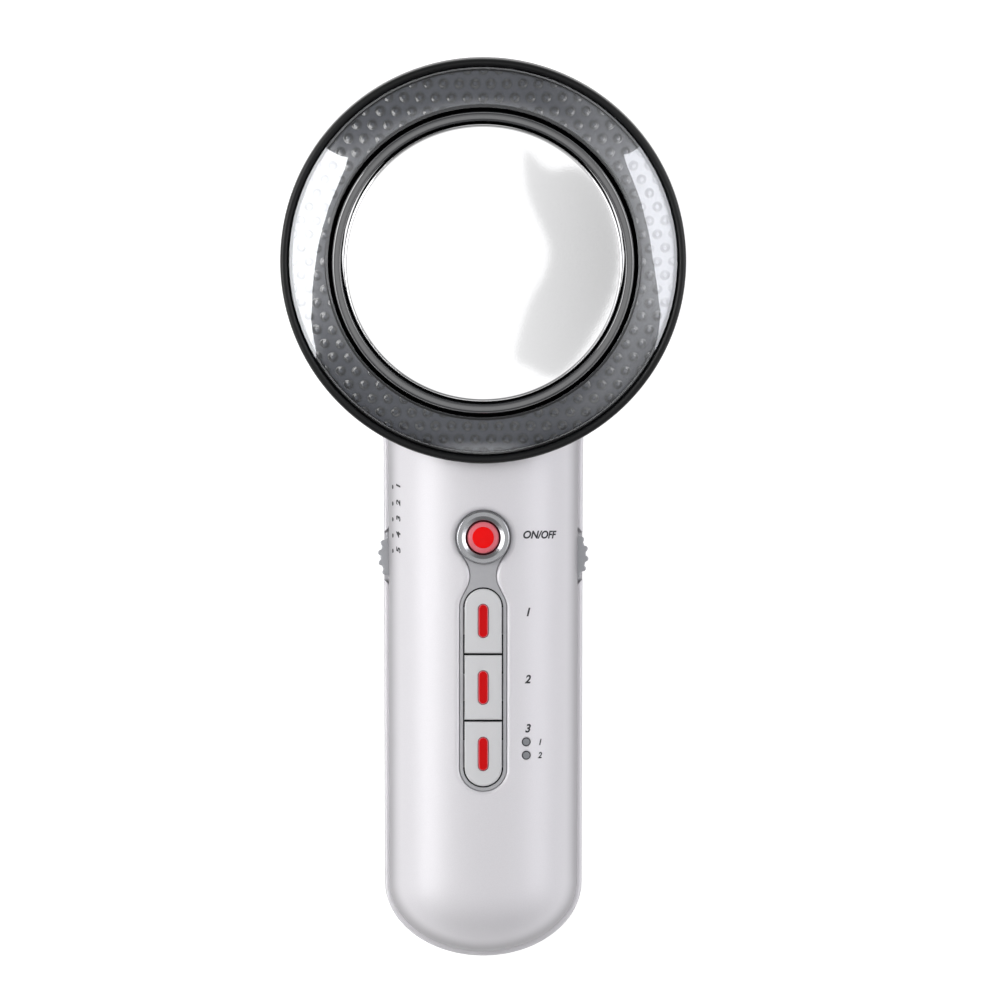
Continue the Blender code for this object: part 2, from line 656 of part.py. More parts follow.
def lobed_bore(name, low, high):
    """The opening inside the rim's flange and the shell's ledge: round, with a lug left at each screw."""
    bore, reach, lug = LUG_BORE_RADIUS, LUG_REACH, LUG_RADIUS
    half_turn = math.acos((reach**2 + bore**2 - lug**2) / (2 * reach * bore))
    half_sweep = math.acos((reach**2 + lug**2 - bore**2) / (2 * reach * lug))
    between = 2 * math.pi / len(LUG_TURNS)
    outline = []
    for turn in LUG_TURNS:
        inward = turn + math.pi
        x, y = reach * math.cos(turn), reach * math.sin(turn)
        outline += arc(x, y, lug, inward + half_sweep, inward - half_sweep, LUG_STEPS)
        outline += arc(0, 0, bore, turn + half_turn, turn + between - half_turn, BORE_STEPS)[1:-1]
    return prism(name, outline, low, high, frame=HEAD_FRAME)


def lug_holes(name, radius, low, high):
    """A hole through each lug."""
    return [
        prism(
            f"{name}_{i}",
            circle(radius, LUG_REACH * math.cos(turn), LUG_REACH * math.sin(turn), HOLE_STEPS),
            low,
            high,
            frame=HEAD_FRAME,
        )
        for i, turn in enumerate(LUG_TURNS)
    ]


def front_shell():
    """Silver front cover: the handle's front, the head's side wall and the ledge that carries the rim."""
    foot = PARTING_Z + PARTING_GAP / 2
    below = PARTING_Z - OVERRUN
    ceiling = FRONT_Z + OVERRUN
    ledge_bottom = SEAT_LEVEL - LEDGE_THICKNESS
    shell = front_half("front_shell", 0, foot, surface=SILVER_PAINT)
    join(shell, head_side("front_head_outside", 0, foot, SEAT_LEVEL + OVERRUN))
    hollow = front_half("front_hollow", WALL, below, INNER_SECTION_STEPS)
    head_hollow = head_side("front_head_hollow", WALL, below, SEAT_LEVEL + 2 * OVERRUN, INNER_ROUND_STEPS)
    neck_wall = revolve(
        "neck_wall",
        [
            (SEAT_RADIUS - NECK_WALL_OVERLAP, ledge_bottom + SEAT_GAP),
            (RIM_RADIUS + SLIDE_GAP + WALL, ledge_bottom + SEAT_GAP),
            (RIM_RADIUS + SLIDE_GAP + WALL, OVERRUN),
            (SEAT_RADIUS - NECK_WALL_OVERLAP, OVERRUN),
        ],
        frame=HEAD_FRAME,
    )
    cut(hollow, neck_wall)
    for i, (x, y) in enumerate(HANDLE_SCREWS):
        cut(hollow, prism(f"handle_boss_{i}", circle(FRONT_BOSS_RADIUS, x, y), below - OVERRUN, ceiling))
    for i, (x, y) in enumerate(BOARD_POSTS):
        outline = circle(BOARD_POST_RADIUS, x, y)
        cut(hollow, prism(f"board_post_{i}", outline, CONTROL_BOARD_TOP + SEAT_GAP, ceiling))
    for i, (x, y) in enumerate(HEAD_SCREWS):
        top = PARTING_Z + HEAD_BOSS_HEIGHT
        cut(head_hollow, prism(f"head_boss_{i}", circle(FRONT_BOSS_RADIUS, x, y), below - OVERRUN, top))
        cut(head_hollow, boss_rib(f"head_boss_rib_{i}", x, y, below - OVERRUN, top))
    cut(shell, hollow, head_hollow)
    ledge = revolve(
        "rim_ledge",
        [
            (LUG_INNER_RADIUS, ledge_bottom),
            (SEAT_RADIUS - WALL / 2, ledge_bottom),
            (SEAT_RADIUS - WALL / 2, SEAT_LEVEL + LEDGE_THICKNESS / 2),
            (LUG_INNER_RADIUS, SEAT_LEVEL + LEDGE_THICKNESS / 2),
        ],
        frame=HEAD_FRAME,
    )
    cut(ledge, lobed_bore("ledge_bore", ledge_bottom - OVERRUN, OVERRUN))
    join(shell, ledge)
    seat_cut = circle(RIM_RADIUS + SLIDE_GAP, steps=ROUND_STEPS)
    cut(shell, prism("rim_seat_cut", seat_cut, SEAT_LEVEL, RIM_HEIGHT, frame=HEAD_FRAME))
    cut(shell, *lug_holes("ledge_hole", SMALL_SCREW_RADIUS + SEAT_GAP, SEAT_LEVEL - OVERRUN, OVERRUN))
    cut(shell, prism("panel_hole", keyhole(SLIDE_GAP), PARTING_Z + WALL, ceiling))
    bevel_low = [(x, y, FRONT_Z - PANEL_BEVEL) for x, y in keyhole(SLIDE_GAP / 2)]
    bevel_high = [(x, y, FRONT_Z + PANEL_BEVEL / 2) for x, y in keyhole(SLIDE_GAP + PANEL_BEVEL)]
    cut(shell, loft("panel_bevel", [bevel_low, bevel_high]))
    for i, y in enumerate(INDICATORS_Y):
        outline = circle(INDICATOR_RADIUS + INDICATOR_GAP, INDICATOR_X, y)
        cut(shell, prism(f"indicator_hole_{i}", outline, CONTROL_BOARD_TOP, ceiling))
    for i, (x, y) in enumerate(HANDLE_SCREWS + HEAD_SCREWS):
        pilot = circle(SHELL_SCREW_RADIUS + PILOT_GAP, x, y, HOLE_STEPS)
        cut(shell, prism(f"front_pilot_{i}", pilot, below, SCREW_SEAT_Z + SHELL_SCREW_LENGTH + SEAT_GAP))
    for i, (x, y) in enumerate(BOARD_SCREWS):
        pilot = circle(SMALL_SCREW_RADIUS + PILOT_GAP, x, y, HOLE_STEPS)
        top = CONTROL_BOARD_BOTTOM + BOARD_SCREW_LENGTH + SEAT_GAP
        cut(shell, prism(f"board_pilot_{i}", pilot, CONTROL_BOARD_BOTTOM, top))
    cut(shell, wheel_slot("front_slot_left", -1), wheel_slot("front_slot_right", 1))


def rear_shell():
    """Silver rear cover: the handle's back and the head's rounded back in one moulding."""
    top = PARTING_Z - PARTING_GAP / 2
    above = PARTING_Z + OVERRUN
    shell = rear_half("rear_shell", 0, top, LIP_CHAMFER, surface=SILVER_PAINT)
    join(shell, bowl_back("rear_bowl_outside", 0, top, LIP_CHAMFER))
    hollow = rear_half("rear_hollow", WALL, above, steps=INNER_SECTION_STEPS)
    bowl_hollow = bowl_back("rear_bowl_hollow", WALL, above, steps=INNER_ROUND_STEPS)
    for i, (x, y) in enumerate(HANDLE_SCREWS):
        cut(hollow, prism(f"rear_boss_{i}", circle(BOSS_RADIUS, x, y), -OVERRUN, above + OVERRUN))
    for i, (x, y) in enumerate(HEAD_SCREWS):
        cut(bowl_hollow, prism(f"bowl_boss_{i}", circle(BOSS_RADIUS, x, y), -OVERRUN, above + OVERRUN))
    cut(shell, hollow, bowl_hollow)
    for i, (x, y) in enumerate(HANDLE_SCREWS + HEAD_SCREWS):
        shank = circle(SHELL_SCREW_RADIUS + SLIDE_GAP, x, y, HOLE_STEPS)
        head = circle(SHELL_SCREW_HEAD_RADIUS + SLIDE_GAP, x, y)
        cut(shell, prism(f"screw_shank_hole_{i}", shank, -OVERRUN, above))
        cut(shell, prism(f"screw_head_hole_{i}", head, -OVERRUN, SCREW_SEAT_Z + SEAT_GAP))
    cut(shell, wheel_slot("rear_slot_left", -1), wheel_slot("rear_slot_right", 1))
    cut(shell, jack_hole("jack_hole"))


def crowned(target, name, sink):
    """Keeps a piece under the handle's curved front, sunk below it by sink."""
    keep_inside(target, front_half(name, sink, PARTING_Z, CROWN_STEPS))


def key_panel():
    """Grey keyhole-shaped trim that frames the power ring and the three keys."""
    above = FRONT_Z + OVERRUN
    panel = prism("key_panel", keyhole(), PANEL_FLANGE_TOP - SEAT_GAP, above, surface=TRIM_GREY)
    crowned(panel, "panel_crown", PANEL_SINK)
    join(panel, prism("panel_flange", keyhole(PANEL_FLANGE), PANEL_BOTTOM, PANEL_FLANGE_TOP))
    ring_seat = circle(RING_RADIUS + SEAT_GAP / 2, 0, POWER_Y, INNER_ROUND_STEPS)
    power_hole = circle(RING_BORE_RADIUS, 0, POWER_Y, INNER_ROUND_STEPS)
    aperture = slot_outline(KEY_HALF_WIDTH + SLIDE_GAP, KEYS_BOTTOM_Y - SLIDE_GAP, KEYS_TOP_Y + SLIDE_GAP)
    cut(
        panel,
        prism("ring_seat_cut", ring_seat, FRONT_Z - RING_SINK - SEAT_GAP, above),
        prism("power_hole", power_hole, PANEL_BOTTOM - OVERRUN, above),
        prism("key_aperture", aperture, PANEL_BOTTOM - OVERRUN, above),
    )


def power_ring():
    """Bright ring round the power button, with a crest outside and a funnel down to the button."""
    profile = [
        (RING_BORE_RADIUS, -RING_SINK),
        (RING_RADIUS, -RING_SINK),
        *arc(RING_RADIUS - RING_EDGE, RING_CREST - RING_EDGE, RING_EDGE, 0, math.pi / 2),
        (RING_RADIUS - RING_EDGE - RING_CREST_WIDTH, RING_CREST),
        (RING_BORE_RADIUS, 0),
    ]
    revolve("power_ring", profile, INNER_ROUND_STEPS, surface=CHROME, origin=(0, POWER_Y, FRONT_Z))


def power_button():
    """Red domed cap with a flange that keeps it behind the panel and a post that meets its switch."""
    wide = POWER_BUTTON_RADIUS + POWER_BUTTON_FLANGE
    profile = [
        (0, KEY_POST_END - FRONT_Z),
        (KEY_POST_RADIUS, KEY_POST_END - FRONT_Z),
        (KEY_POST_RADIUS, KEY_BOTTOM - FRONT_Z),
        (wide, KEY_BOTTOM - FRONT_Z),
        (wide, KEY_FLANGE_TOP - FRONT_Z),
        (POWER_BUTTON_RADIUS, KEY_FLANGE_TOP - FRONT_Z),
    ]
    for i in range(POWER_BUTTON_STEPS):
        turn = math.pi / 2 * i / POWER_BUTTON_STEPS
        height = POWER_BUTTON_SIDE + POWER_BUTTON_DOME * math.sin(turn)
        profile.append((POWER_BUTTON_RADIUS * math.cos(turn), height))
    profile.append((0, POWER_BUTTON_SIDE + POWER_BUTTON_DOME))
    revolve("power_button", profile, INNER_ROUND_STEPS, surface=RED_LENS, origin=(0, POWER_Y, FRONT_Z))


def mode_key(index):
    """A pearl-grey key with its flange, its post and a slot for the light bar."""
    low, high = key_span(index)
    middle = (low + high) / 2
    name = f"mode_key_{index + 1}"
    outline = slot_outline(
        KEY_HALF_WIDTH, low - middle, high - middle, round_low=index == KEY_COUNT - 1, round_high=index == 0
    )
    rise = FRONT_Z + OVERRUN
    key = prism(name, outline, KEY_BOTTOM, rise, surface=KEY_PLASTIC, origin=(0, middle, 0))
    crowned(key, f"{name}_crown", KEY_SINK)
    half = KEY_HALF_WIDTH + KEY_FLANGE
    inner = KEY_LENGTH / 2 - KEY_HALF_WIDTH
    flange_low, flange_high = (-half, middle - inner, KEY_BOTTOM), (half, middle + inner, KEY_FLANGE_TOP)
    flange = box(f"{name}_flange", flange_low, flange_high)
    post_y = middle - BAR_LENGTH / 2 - KEY_POST_RADIUS - 2 * BAR_GAP
    post_top = KEY_BOTTOM + KEY_FLANGE_THICKNESS / 2
    post = prism(f"{name}_post", circle(KEY_POST_RADIUS, 0, post_y), KEY_POST_END, post_top)
    join(key, flange, post)
    bar_reach = BAR_LENGTH / 2 + BAR_GAP
    slot = slot_outline(BAR_HALF_WIDTH + BAR_GAP, middle - bar_reach, middle + bar_reach)
    cut(key, prism(f"{name}_slot", slot, KEY_BOTTOM - OVERRUN, rise))
    return post_y


def light_bar(index):
    """Red translucent bar that lights a key from behind."""
    low, high = key_span(index)
    middle = (low + high) / 2
    name = f"key_light_bar_{index + 1}"
    outline = slot_outline(BAR_HALF_WIDTH, -BAR_LENGTH / 2, BAR_LENGTH / 2)
    bar = prism(name, outline, KEY_BOTTOM, FRONT_Z + OVERRUN, surface=RED_LENS, origin=(0, middle, 0))
    crowned(bar, f"{name}_crown", 0)
    return middle


def tact_switch(number, y):
    """A board-mounted push switch: its housing, and the stem that its key presses."""
    half = SWITCH_HALF_WIDTH
    low, high = (-half, y - half, SWITCH_BOTTOM), (half, y + half, SWITCH_TOP)
    housing = box(f"tact_switch_{number}", low, high, surface=SWITCH_BLACK)
    well = circle(STEM_RADIUS + SLIDE_GAP, 0, y)
    floor = SWITCH_TOP - SWITCH_WELL_DEPTH
    cut(housing, prism(f"tact_switch_well_{number}", well, floor, SWITCH_TOP + OVERRUN))
    stem = circle(STEM_RADIUS)
    prism(f"switch_stem_{number}", stem, 0, STEM_LENGTH, surface=KEY_PLASTIC, origin=(0, y, STEM_BOTTOM))


def indicator_pipe(number, y):
    """A clear light pipe from the board to the cover."""
    name = f"indicator_pipe_{number}"
    low = CONTROL_BOARD_TOP + SEAT_GAP
    origin = (INDICATOR_X, y, 0)
    pipe = prism(name, circle(INDICATOR_RADIUS), low, FRONT_Z, surface=LED_CLEAR, origin=origin)
    crowned(pipe, f"{name}_crown", INDICATOR_GAP)


def control_board(bar_places):
    """Circuit board under the keys, on the front shell's posts, with a lamp chip under each light bar."""
    half = CONTROL_BOARD_HALF_WIDTH
    board = box(
        "control_board",
        (-half, CONTROL_BOARD_LOW_Y, CONTROL_BOARD_BOTTOM),
        (half, CONTROL_BOARD_HIGH_Y, CONTROL_BOARD_TOP),
        surface=BOARD,
    )
    for i, y in enumerate(bar_places):
        low = (-CHIP_HALF_WIDTH, y, CONTROL_BOARD_TOP - BOARD_THICKNESS / 2)
        high = (CHIP_HALF_WIDTH, y + 2 * CHIP_HALF_WIDTH, CONTROL_BOARD_TOP + CHIP_HEIGHT)
        join(board, box(f"lamp_chip_{i}", low, high))
    below, above = CONTROL_BOARD_BOTTOM - OVERRUN, CONTROL_BOARD_TOP + OVERRUN
    for i, (x, y) in enumerate(BOARD_SCREWS):
        hole = circle(SMALL_SCREW_RADIUS + SEAT_GAP, x, y, HOLE_STEPS)
        cut(board, prism(f"board_hole_{i}", hole, below, above))


def transformer():
    """Step-up transformer under the board: a ferrite core and the winding on its middle leg."""
    top = CONTROL_BOARD_BOTTOM - SEAT_GAP
    low = (-CORE_HALF_WIDTH, TRANSFORMER_Y - CORE_HALF_LENGTH, top - CORE_HEIGHT)
    high = (CORE_HALF_WIDTH, TRANSFORMER_Y + CORE_HALF_LENGTH, top)
    core = box("transformer_core", low, high, surface=FERRITE)
    outer = CORE_HALF_WIDTH - CORE_LEG
    for i, side in enumerate((-1, 1)):
        near, far = sorted((side * CORE_LEG, side * outer))
        window_low = (near, TRANSFORMER_Y - CORE_HALF_LENGTH - OVERRUN, top - CORE_HEIGHT + CORE_YOKE)
        window_high = (far, TRANSFORMER_Y + CORE_HALF_LENGTH + OVERRUN, top - CORE_YOKE)
        cut(core, box(f"core_window_{i}", window_low, window_high))
    bottom = top - CORE_HEIGHT + CORE_YOKE + SLIDE_GAP
    roof = top - CORE_YOKE - SLIDE_GAP
    outline = rounded_rectangle(outer - SLIDE_GAP, WINDING_REACH, WINDING_BUILD / 2)
    place = (0, TRANSFORMER_Y, 0)
    winding = prism("transformer_winding", outline, bottom, roof, surface=COPPER, origin=place)
    bore_x, bore_y = CORE_LEG + SLIDE_GAP, CORE_HALF_LENGTH + SLIDE_GAP
    bore_low = (-bore_x, TRANSFORMER_Y - bore_y, bottom - OVERRUN)
    bore_high = (bore_x, TRANSFORMER_Y + bore_y, roof + OVERRUN)
    cut(winding, box("winding_bore", bore_low, bore_high))


def capacitor():
    """Upright electrolytic can under the board, with the rolled groove near its foot."""
    top = CONTROL_BOARD_BOTTOM - SEAT_GAP
    radius, length, groove = CAPACITOR_RADIUS, CAPACITOR_LENGTH, CAPACITOR_GROOVE
    profile = [
        (0, -length),
        (radius - groove, -length),
        (radius, groove - length),
        (radius, -CAPACITOR_GROOVE_DROP - groove),
        (radius - groove, -CAPACITOR_GROOVE_DROP),
        (radius, groove - CAPACITOR_GROOVE_DROP),
        (radius, 0),
        (0, 0),
    ]
    revolve("capacitor", profile, INNER_ROUND_STEPS, surface=CAN_SLEEVE, origin=(0, CAPACITOR_Y, top))


SHELL_SCREW = (SHELL_SCREW_HEAD_RADIUS, SHELL_SCREW_HEAD_HEIGHT, SHELL_SCREW_RADIUS)
SMALL_SCREW = (SMALL_SCREW_HEAD_RADIUS, SMALL_SCREW_HEAD_HEIGHT, SMALL_SCREW_RADIUS)
SCREW_TOP_SHARE = 0.7
SCREW_EDGE_SHARE = 0.4
RECESS_WIDTH_SHARE = 0.15
RECESS_REACH_SHARE = 0.6
RECESS_DEPTH_SHARE = 0.5


def screw(name, x, y, seat, sizes, length, frame=None):
    """A pan-head screw that points up from its seat."""
    head_radius, head_height, radius = sizes
    profile = [
        (0, -head_height),
        (head_radius * SCREW_TOP_SHARE, -head_height),
        (head_radius, -head_height * SCREW_EDGE_SHARE),
        (head_radius, 0),
        (radius, 0),
        (radius, length - radius),
        (0, length),
    ]
    return revolve(name, profile, HOLE_STEPS, surface=ZINC, frame=frame, origin=(x, y, seat))


def case_screw(name, x, y):
    """A screw from the back that holds both shells, with a cross recess in its head."""
    head_radius, head_height, _ = SHELL_SCREW
    made = screw(name, x, y, SCREW_SEAT_Z, SHELL_SCREW, SHELL_SCREW_LENGTH)
    slim, reach = head_radius * RECESS_WIDTH_SHARE, head_radius * RECESS_REACH_SHARE
    for label, half_x, half_y in (("a", slim, reach), ("b", reach, slim)):
        low = (-half_x, -half_y, -head_height - OVERRUN)
        high = (half_x, half_y, -head_height * (1 - RECESS_DEPTH_SHARE))
        cut(made, box(f"{name}_recess_{label}", low, high, origin=(x, y, SCREW_SEAT_Z)))


def thumbwheel(name, side):
    """Ribbed thumbwheel that stands out of the handle's side seam."""
    outline = []
    for tooth in range(WHEEL_TEETH):
        for turn_share, rise_share in TOOTH_SHARES:
            radius = WHEEL_RADIUS - TOOTH_HEIGHT * (1 - rise_share)
            turn = 2 * math.pi * (tooth + turn_share) / WHEEL_TEETH
            outline.append((radius * math.cos(turn), radius * math.sin(turn)))
    half = WHEEL_WIDTH / 2
    x = side * WHEEL_X
    wheel = prism(name, outline, -half, half, surface=TRIM_GREY, origin=(x, WHEEL_Y, PARTING_Z))
    cut(wheel, prism(f"{name}_bore", circle(WHEEL_BORE_RADIUS, x, WHEEL_Y), 0, FRONT_Z))


def wheel_control(name, side):
    """The rotary control that a thumbwheel turns: a block under the board and its headed pin."""
    top = CONTROL_BOARD_BOTTOM - SEAT_GAP
    bottom = PARTING_Z + WHEEL_WIDTH / 2 + SLIDE_GAP
    near, far = sorted((side * (WHEEL_X + CONTROL_OUTER), side * (WHEEL_X - CONTROL_INNER)))
    low = (near, WHEEL_Y - CONTROL_HALF_LENGTH, bottom)
    high = (far, WHEEL_Y + CONTROL_HALF_LENGTH, top)
    block = box(name, low, high, surface=SWITCH_BLACK)
    pin_radius = WHEEL_BORE_RADIUS - SLIDE_GAP
    under = -WHEEL_WIDTH / 2 - SLIDE_GAP
    inside = (bottom + top) / 2 - PARTING_Z
    profile = [
        (0, under - PIN_HEAD_THICKNESS),
        (PIN_HEAD_RADIUS, under - PIN_HEAD_THICKNESS),
        (PIN_HEAD_RADIUS, under),
        (pin_radius, under),
        (pin_radius, inside),
        (0, inside),
    ]
    place = (side * WHEEL_X, WHEEL_Y, PARTING_Z)
    join(block, revolve(f"{name}_pin", profile, SMALL_ROUND_STEPS, origin=place))


def power_socket():
    """Low-voltage socket in the handle's end, with its contact pin in the bore."""
    nose = circle(JACK_NOSE_RADIUS, steps=INNER_ROUND_STEPS)
    half = JACK_BODY_HALF_WIDTH
    inside = JACK_NOSE_LENGTH + half
    socket = prism("power_socket", nose, 0, inside, surface=BLACK_PLASTIC, frame=SOCKET_FRAME)
    low = (-half, -half, JACK_NOSE_LENGTH)
    high = (half, half, JACK_NOSE_LENGTH + JACK_BODY_LENGTH)
    join(socket, box("power_socket_body", low, high, frame=SOCKET_FRAME))
    hole = circle(JACK_BORE_RADIUS, steps=INNER_ROUND_STEPS)
    bore = prism("power_socket_bore", hole, -OVERRUN, JACK_BORE_DEPTH, frame=SOCKET_FRAME)
    pin = circle(JACK_PIN_RADIUS)
    cut(bore, prism("power_socket_pin", pin, JACK_PIN_SINK, JACK_BORE_DEPTH + OVERRUN, frame=SOCKET_FRAME))
    cut(socket, bore)


# Head assembly, built on the tilted axis: heights run along it from the rim's top plane
WINDOW_THICKNESS = 1.6 * MM
WINDOW_RISE = 3.7 * MM
WINDOW_EDGE_DROP = 0.5 * MM
WINDOW_FOOT = 1.8 * MM
COLLAR_FROM_RIM = 11.8 * MM
COLLAR_WIDTH = 2.2 * MM
COLLAR_RISE = 4.6 * MM
COLLAR_FLANGE = 2.5 * MM
COLLAR_FLANGE_THICKNESS = 2 * MM
COLLAR_POST_RADIUS = 1.6 * MM
COLLAR_POST_OFFSET = 0.8 * MM
GROOVE_WIDTH = 0.9 * MM
PROBE_GAP = 0.5 * MM
PROBE_RISE = 5.2 * MM
PROBE_PLATE_THICKNESS = 1.5 * MM
PROBE_SKIRT = 1.2 * MM
PROBE_EDGE = 1 * MM
PROBE_FLANGE = 2.5 * MM
PROBE_FLANGE_THICKNESS = 1.2 * MM
GASKET_THICKNESS = 0.6 * MM
GASKET_GAP = 0.6 * MM
PIEZO_RADIUS = 16 * MM
PIEZO_THICKNESS = 2.5 * MM
RETAINER_COVER = 4.5 * MM
RETAINER_THICKNESS = 2 * MM
RETAINER_MARGIN = 2.1 * MM
LAMP_COUNT = 6
LAMP_RADIUS = 1.5 * MM
LAMP_HEIGHT = 5.3 * MM
LAMP_BOARD_THICKNESS = 1.4 * MM
LAMP_BOARD_EDGE_GAP = 0.9 * MM
COLLAR_STEPS = 5
DOME_STEPS = 4
UNDERSIDE_STEPS = 2
LAMP_STEPS = 2

COLLAR_OUTER_RADIUS = RIM_RADIUS - COLLAR_FROM_RIM
COLLAR_INNER_RADIUS = COLLAR_OUTER_RADIUS - COLLAR_WIDTH
COLLAR_FLANGE_RADIUS = COLLAR_OUTER_RADIUS + COLLAR_FLANGE
COLLAR_POST_REACH = COLLAR_OUTER_RADIUS + COLLAR_POST_OFFSET
PROBE_RADIUS = COLLAR_INNER_RADIUS - PROBE_GAP
WINDOW_OUTER_RADIUS = RIM_RADIUS - RIM_WIDTH - SEAT_GAP
WINDOW_INNER_RADIUS = COLLAR_OUTER_RADIUS + GROOVE_WIDTH
RIM_FLANGE_LEVEL = -RIM_DEPTH + RIM_FLANGE_THICKNESS
COLLAR_BOTTOM = RIM_FLANGE_LEVEL - COLLAR_FLANGE_THICKNESS
GASKET_TOP = COLLAR_BOTTOM - SEAT_GAP
PROBE_FLANGE_TOP = GASKET_TOP - GASKET_THICKNESS - SEAT_GAP
PROBE_BOTTOM = PROBE_FLANGE_TOP - PROBE_FLANGE_THICKNESS
PROBE_FLANGE_RADIUS = PROBE_RADIUS - PROBE_SKIRT + PROBE_FLANGE
RETAINER_BORE_RADIUS = PROBE_FLANGE_RADIUS - RETAINER_COVER
LAMP_BOARD_TOP = SEAT_LEVEL - LEDGE_THICKNESS - SEAT_GAP
LAMP_BOARD_BOTTOM = LAMP_BOARD_TOP - LAMP_BOARD_THICKNESS
LAMP_REACH = (COLLAR_FLANGE_RADIUS + RIM_RADIUS - RIM_FLANGE) / 2
RIM_SCREW_LENGTH = RIM_FLANGE_LEVEL - LAMP_BOARD_BOTTOM - 2 * SEAT_GAP
RETAINER_SCREW_LENGTH = RIM_FLANGE_LEVEL - PROBE_BOTTOM + RETAINER_THICKNESS - 2 * SEAT_GAP


def window_height(radius, under=0.0):
    """Height of the window's domed top at a radius, or of a surface parallel to it."""
    share = (WINDOW_OUTER_RADIUS - radius) / (WINDOW_OUTER_RADIUS - WINDOW_INNER_RADIUS)
    share = min(max(share, 0), 1)
    return -WINDOW_EDGE_DROP + (WINDOW_RISE + WINDOW_EDGE_DROP) * math.sin(math.pi / 2 * share) - under


def dome_points(inner, outer, under, steps):
    """Profile points from the inner to the outer radius of a surface parallel to the window's top."""
    radii = [inner + (outer - inner) * i / steps for i in range(steps + 1)]
    return [(radius, window_height(radius, under)) for radius in radii]


def washer(name, inner, outer, low, high, surface=None):
    """A flat ring on the head's axis."""
    profile = [(inner, low), (outer, low), (outer, high), (inner, high)]
    return revolve(name, profile, INNER_ROUND_STEPS, surface=surface, frame=HEAD_FRAME)


def retainer_places():
    """Where the retainer's screws stand, between the lamps and the rim's lugs."""
    return [(COLLAR_POST_REACH * math.cos(turn), COLLAR_POST_REACH * math.sin(turn)) for turn in LUG_TURNS]


def rim_ring():
    """Black outer ring with an inner flange for the window to sit on and three screw lugs."""
    inner = RIM_RADIUS - RIM_WIDTH
    profile = [
        (LUG_INNER_RADIUS, -RIM_DEPTH),
        (RIM_RADIUS - RIM_EDGE, -RIM_DEPTH),
        (RIM_RADIUS, -RIM_DEPTH + RIM_EDGE),
        *arc(RIM_RADIUS - RIM_EDGE, -RIM_EDGE, RIM_EDGE, 0, math.pi / 2),
        *arc(inner + RIM_EDGE, -RIM_EDGE, RIM_EDGE, math.pi / 2, math.pi),
        (inner, RIM_FLANGE_LEVEL),
        (LUG_INNER_RADIUS, RIM_FLANGE_LEVEL),
    ]
    ring = revolve("rim_ring", profile, surface=BLACK_GLOSS, frame=HEAD_FRAME)
    cut(ring, lobed_bore("rim_bore", -RIM_DEPTH - OVERRUN, OVERRUN))
    top = RIM_FLANGE_LEVEL - 2 * SEAT_GAP
    cut(ring, *lug_holes("rim_pilot", SMALL_SCREW_RADIUS + PILOT_GAP, -RIM_DEPTH - OVERRUN, top))


def window_ring():
    """Smoked window over the infrared lamps: a domed ring with a foot at each edge."""
    inner, outer = WINDOW_INNER_RADIUS, WINDOW_OUTER_RADIUS
    foot = RIM_FLANGE_LEVEL + SEAT_GAP
    profile = [(inner, foot)] + dome_points(inner, outer, 0, DOME_STEPS)
    profile += [(outer, foot), (outer - WINDOW_FOOT, foot)]
    underside = dome_points(inner + WINDOW_THICKNESS, outer - WINDOW_FOOT, WINDOW_THICKNESS, UNDERSIDE_STEPS)
    profile += list(reversed(underside)) + [(inner + WINDOW_THICKNESS, foot)]
    revolve("window_ring", profile, surface=SMOKED, frame=HEAD_FRAME)


def probe_collar():
    """Dark round collar between window and probe, with a flange under the window and three posts."""
    inner, outer = COLLAR_INNER_RADIUS, COLLAR_OUTER_RADIUS
    half = (outer - inner) / 2
    profile = [
        (inner, COLLAR_BOTTOM),
        *arc(inner + half, COLLAR_RISE - half, half, math.pi, 0, COLLAR_STEPS),
        (outer, RIM_FLANGE_LEVEL),
        (COLLAR_FLANGE_RADIUS, RIM_FLANGE_LEVEL),
        (COLLAR_FLANGE_RADIUS, COLLAR_BOTTOM),
    ]
    collar = revolve("probe_collar", profile, surface=BLACK_GLOSS, frame=HEAD_FRAME)
    for i, (x, y) in enumerate(retainer_places()):
        outline = circle(COLLAR_POST_RADIUS, x, y)
        top = COLLAR_BOTTOM + COLLAR_FLANGE_THICKNESS / 2
        join(collar, prism(f"collar_post_{i}", outline, PROBE_BOTTOM, top, frame=HEAD_FRAME))
        pilot = circle(SMALL_SCREW_RADIUS + PILOT_GAP, x, y, HOLE_STEPS)
        top = RIM_FLANGE_LEVEL - 2 * SEAT_GAP
        cut(collar, prism(f"collar_pilot_{i}", pilot, PROBE_BOTTOM - OVERRUN, top, frame=HEAD_FRAME))


def probe_plate():
    """Mirror-polished stainless cup that touches the skin, with the flange that holds it."""
    outer = PROBE_RADIUS
    inner = outer - PROBE_SKIRT
    under = PROBE_RISE - PROBE_PLATE_THICKNESS
    profile = [
        (0, PROBE_RISE),
        *arc(outer - PROBE_EDGE, PROBE_RISE - PROBE_EDGE, PROBE_EDGE, math.pi / 2, 0),
        (outer, PROBE_FLANGE_TOP),
        (PROBE_FLANGE_RADIUS, PROBE_FLANGE_TOP),
        (PROBE_FLANGE_RADIUS, PROBE_BOTTOM),
        (inner, PROBE_BOTTOM),
        (inner, under),
        (0, under),
    ]
    revolve("probe_plate", profile, surface=STEEL, frame=HEAD_FRAME)


def probe_gasket():
    """Silicone washer that seals and insulates the probe's flange under the collar."""
    low = GASKET_TOP - GASKET_THICKNESS
    washer("probe_gasket", PROBE_RADIUS + GASKET_GAP, PROBE_FLANGE_RADIUS, low, GASKET_TOP, SILICONE)


def piezo_disc():
    """Ceramic transducer bonded behind the middle of the probe plate."""
    top = PROBE_RISE - PROBE_PLATE_THICKNESS - SEAT_GAP
    low = top - PIEZO_THICKNESS
    profile = [(0, low), (PIEZO_RADIUS, low), (PIEZO_RADIUS, top), (0, top)]
    revolve("piezo_disc", profile, INNER_ROUND_STEPS, surface=CERAMIC, frame=HEAD_FRAME)
    return low


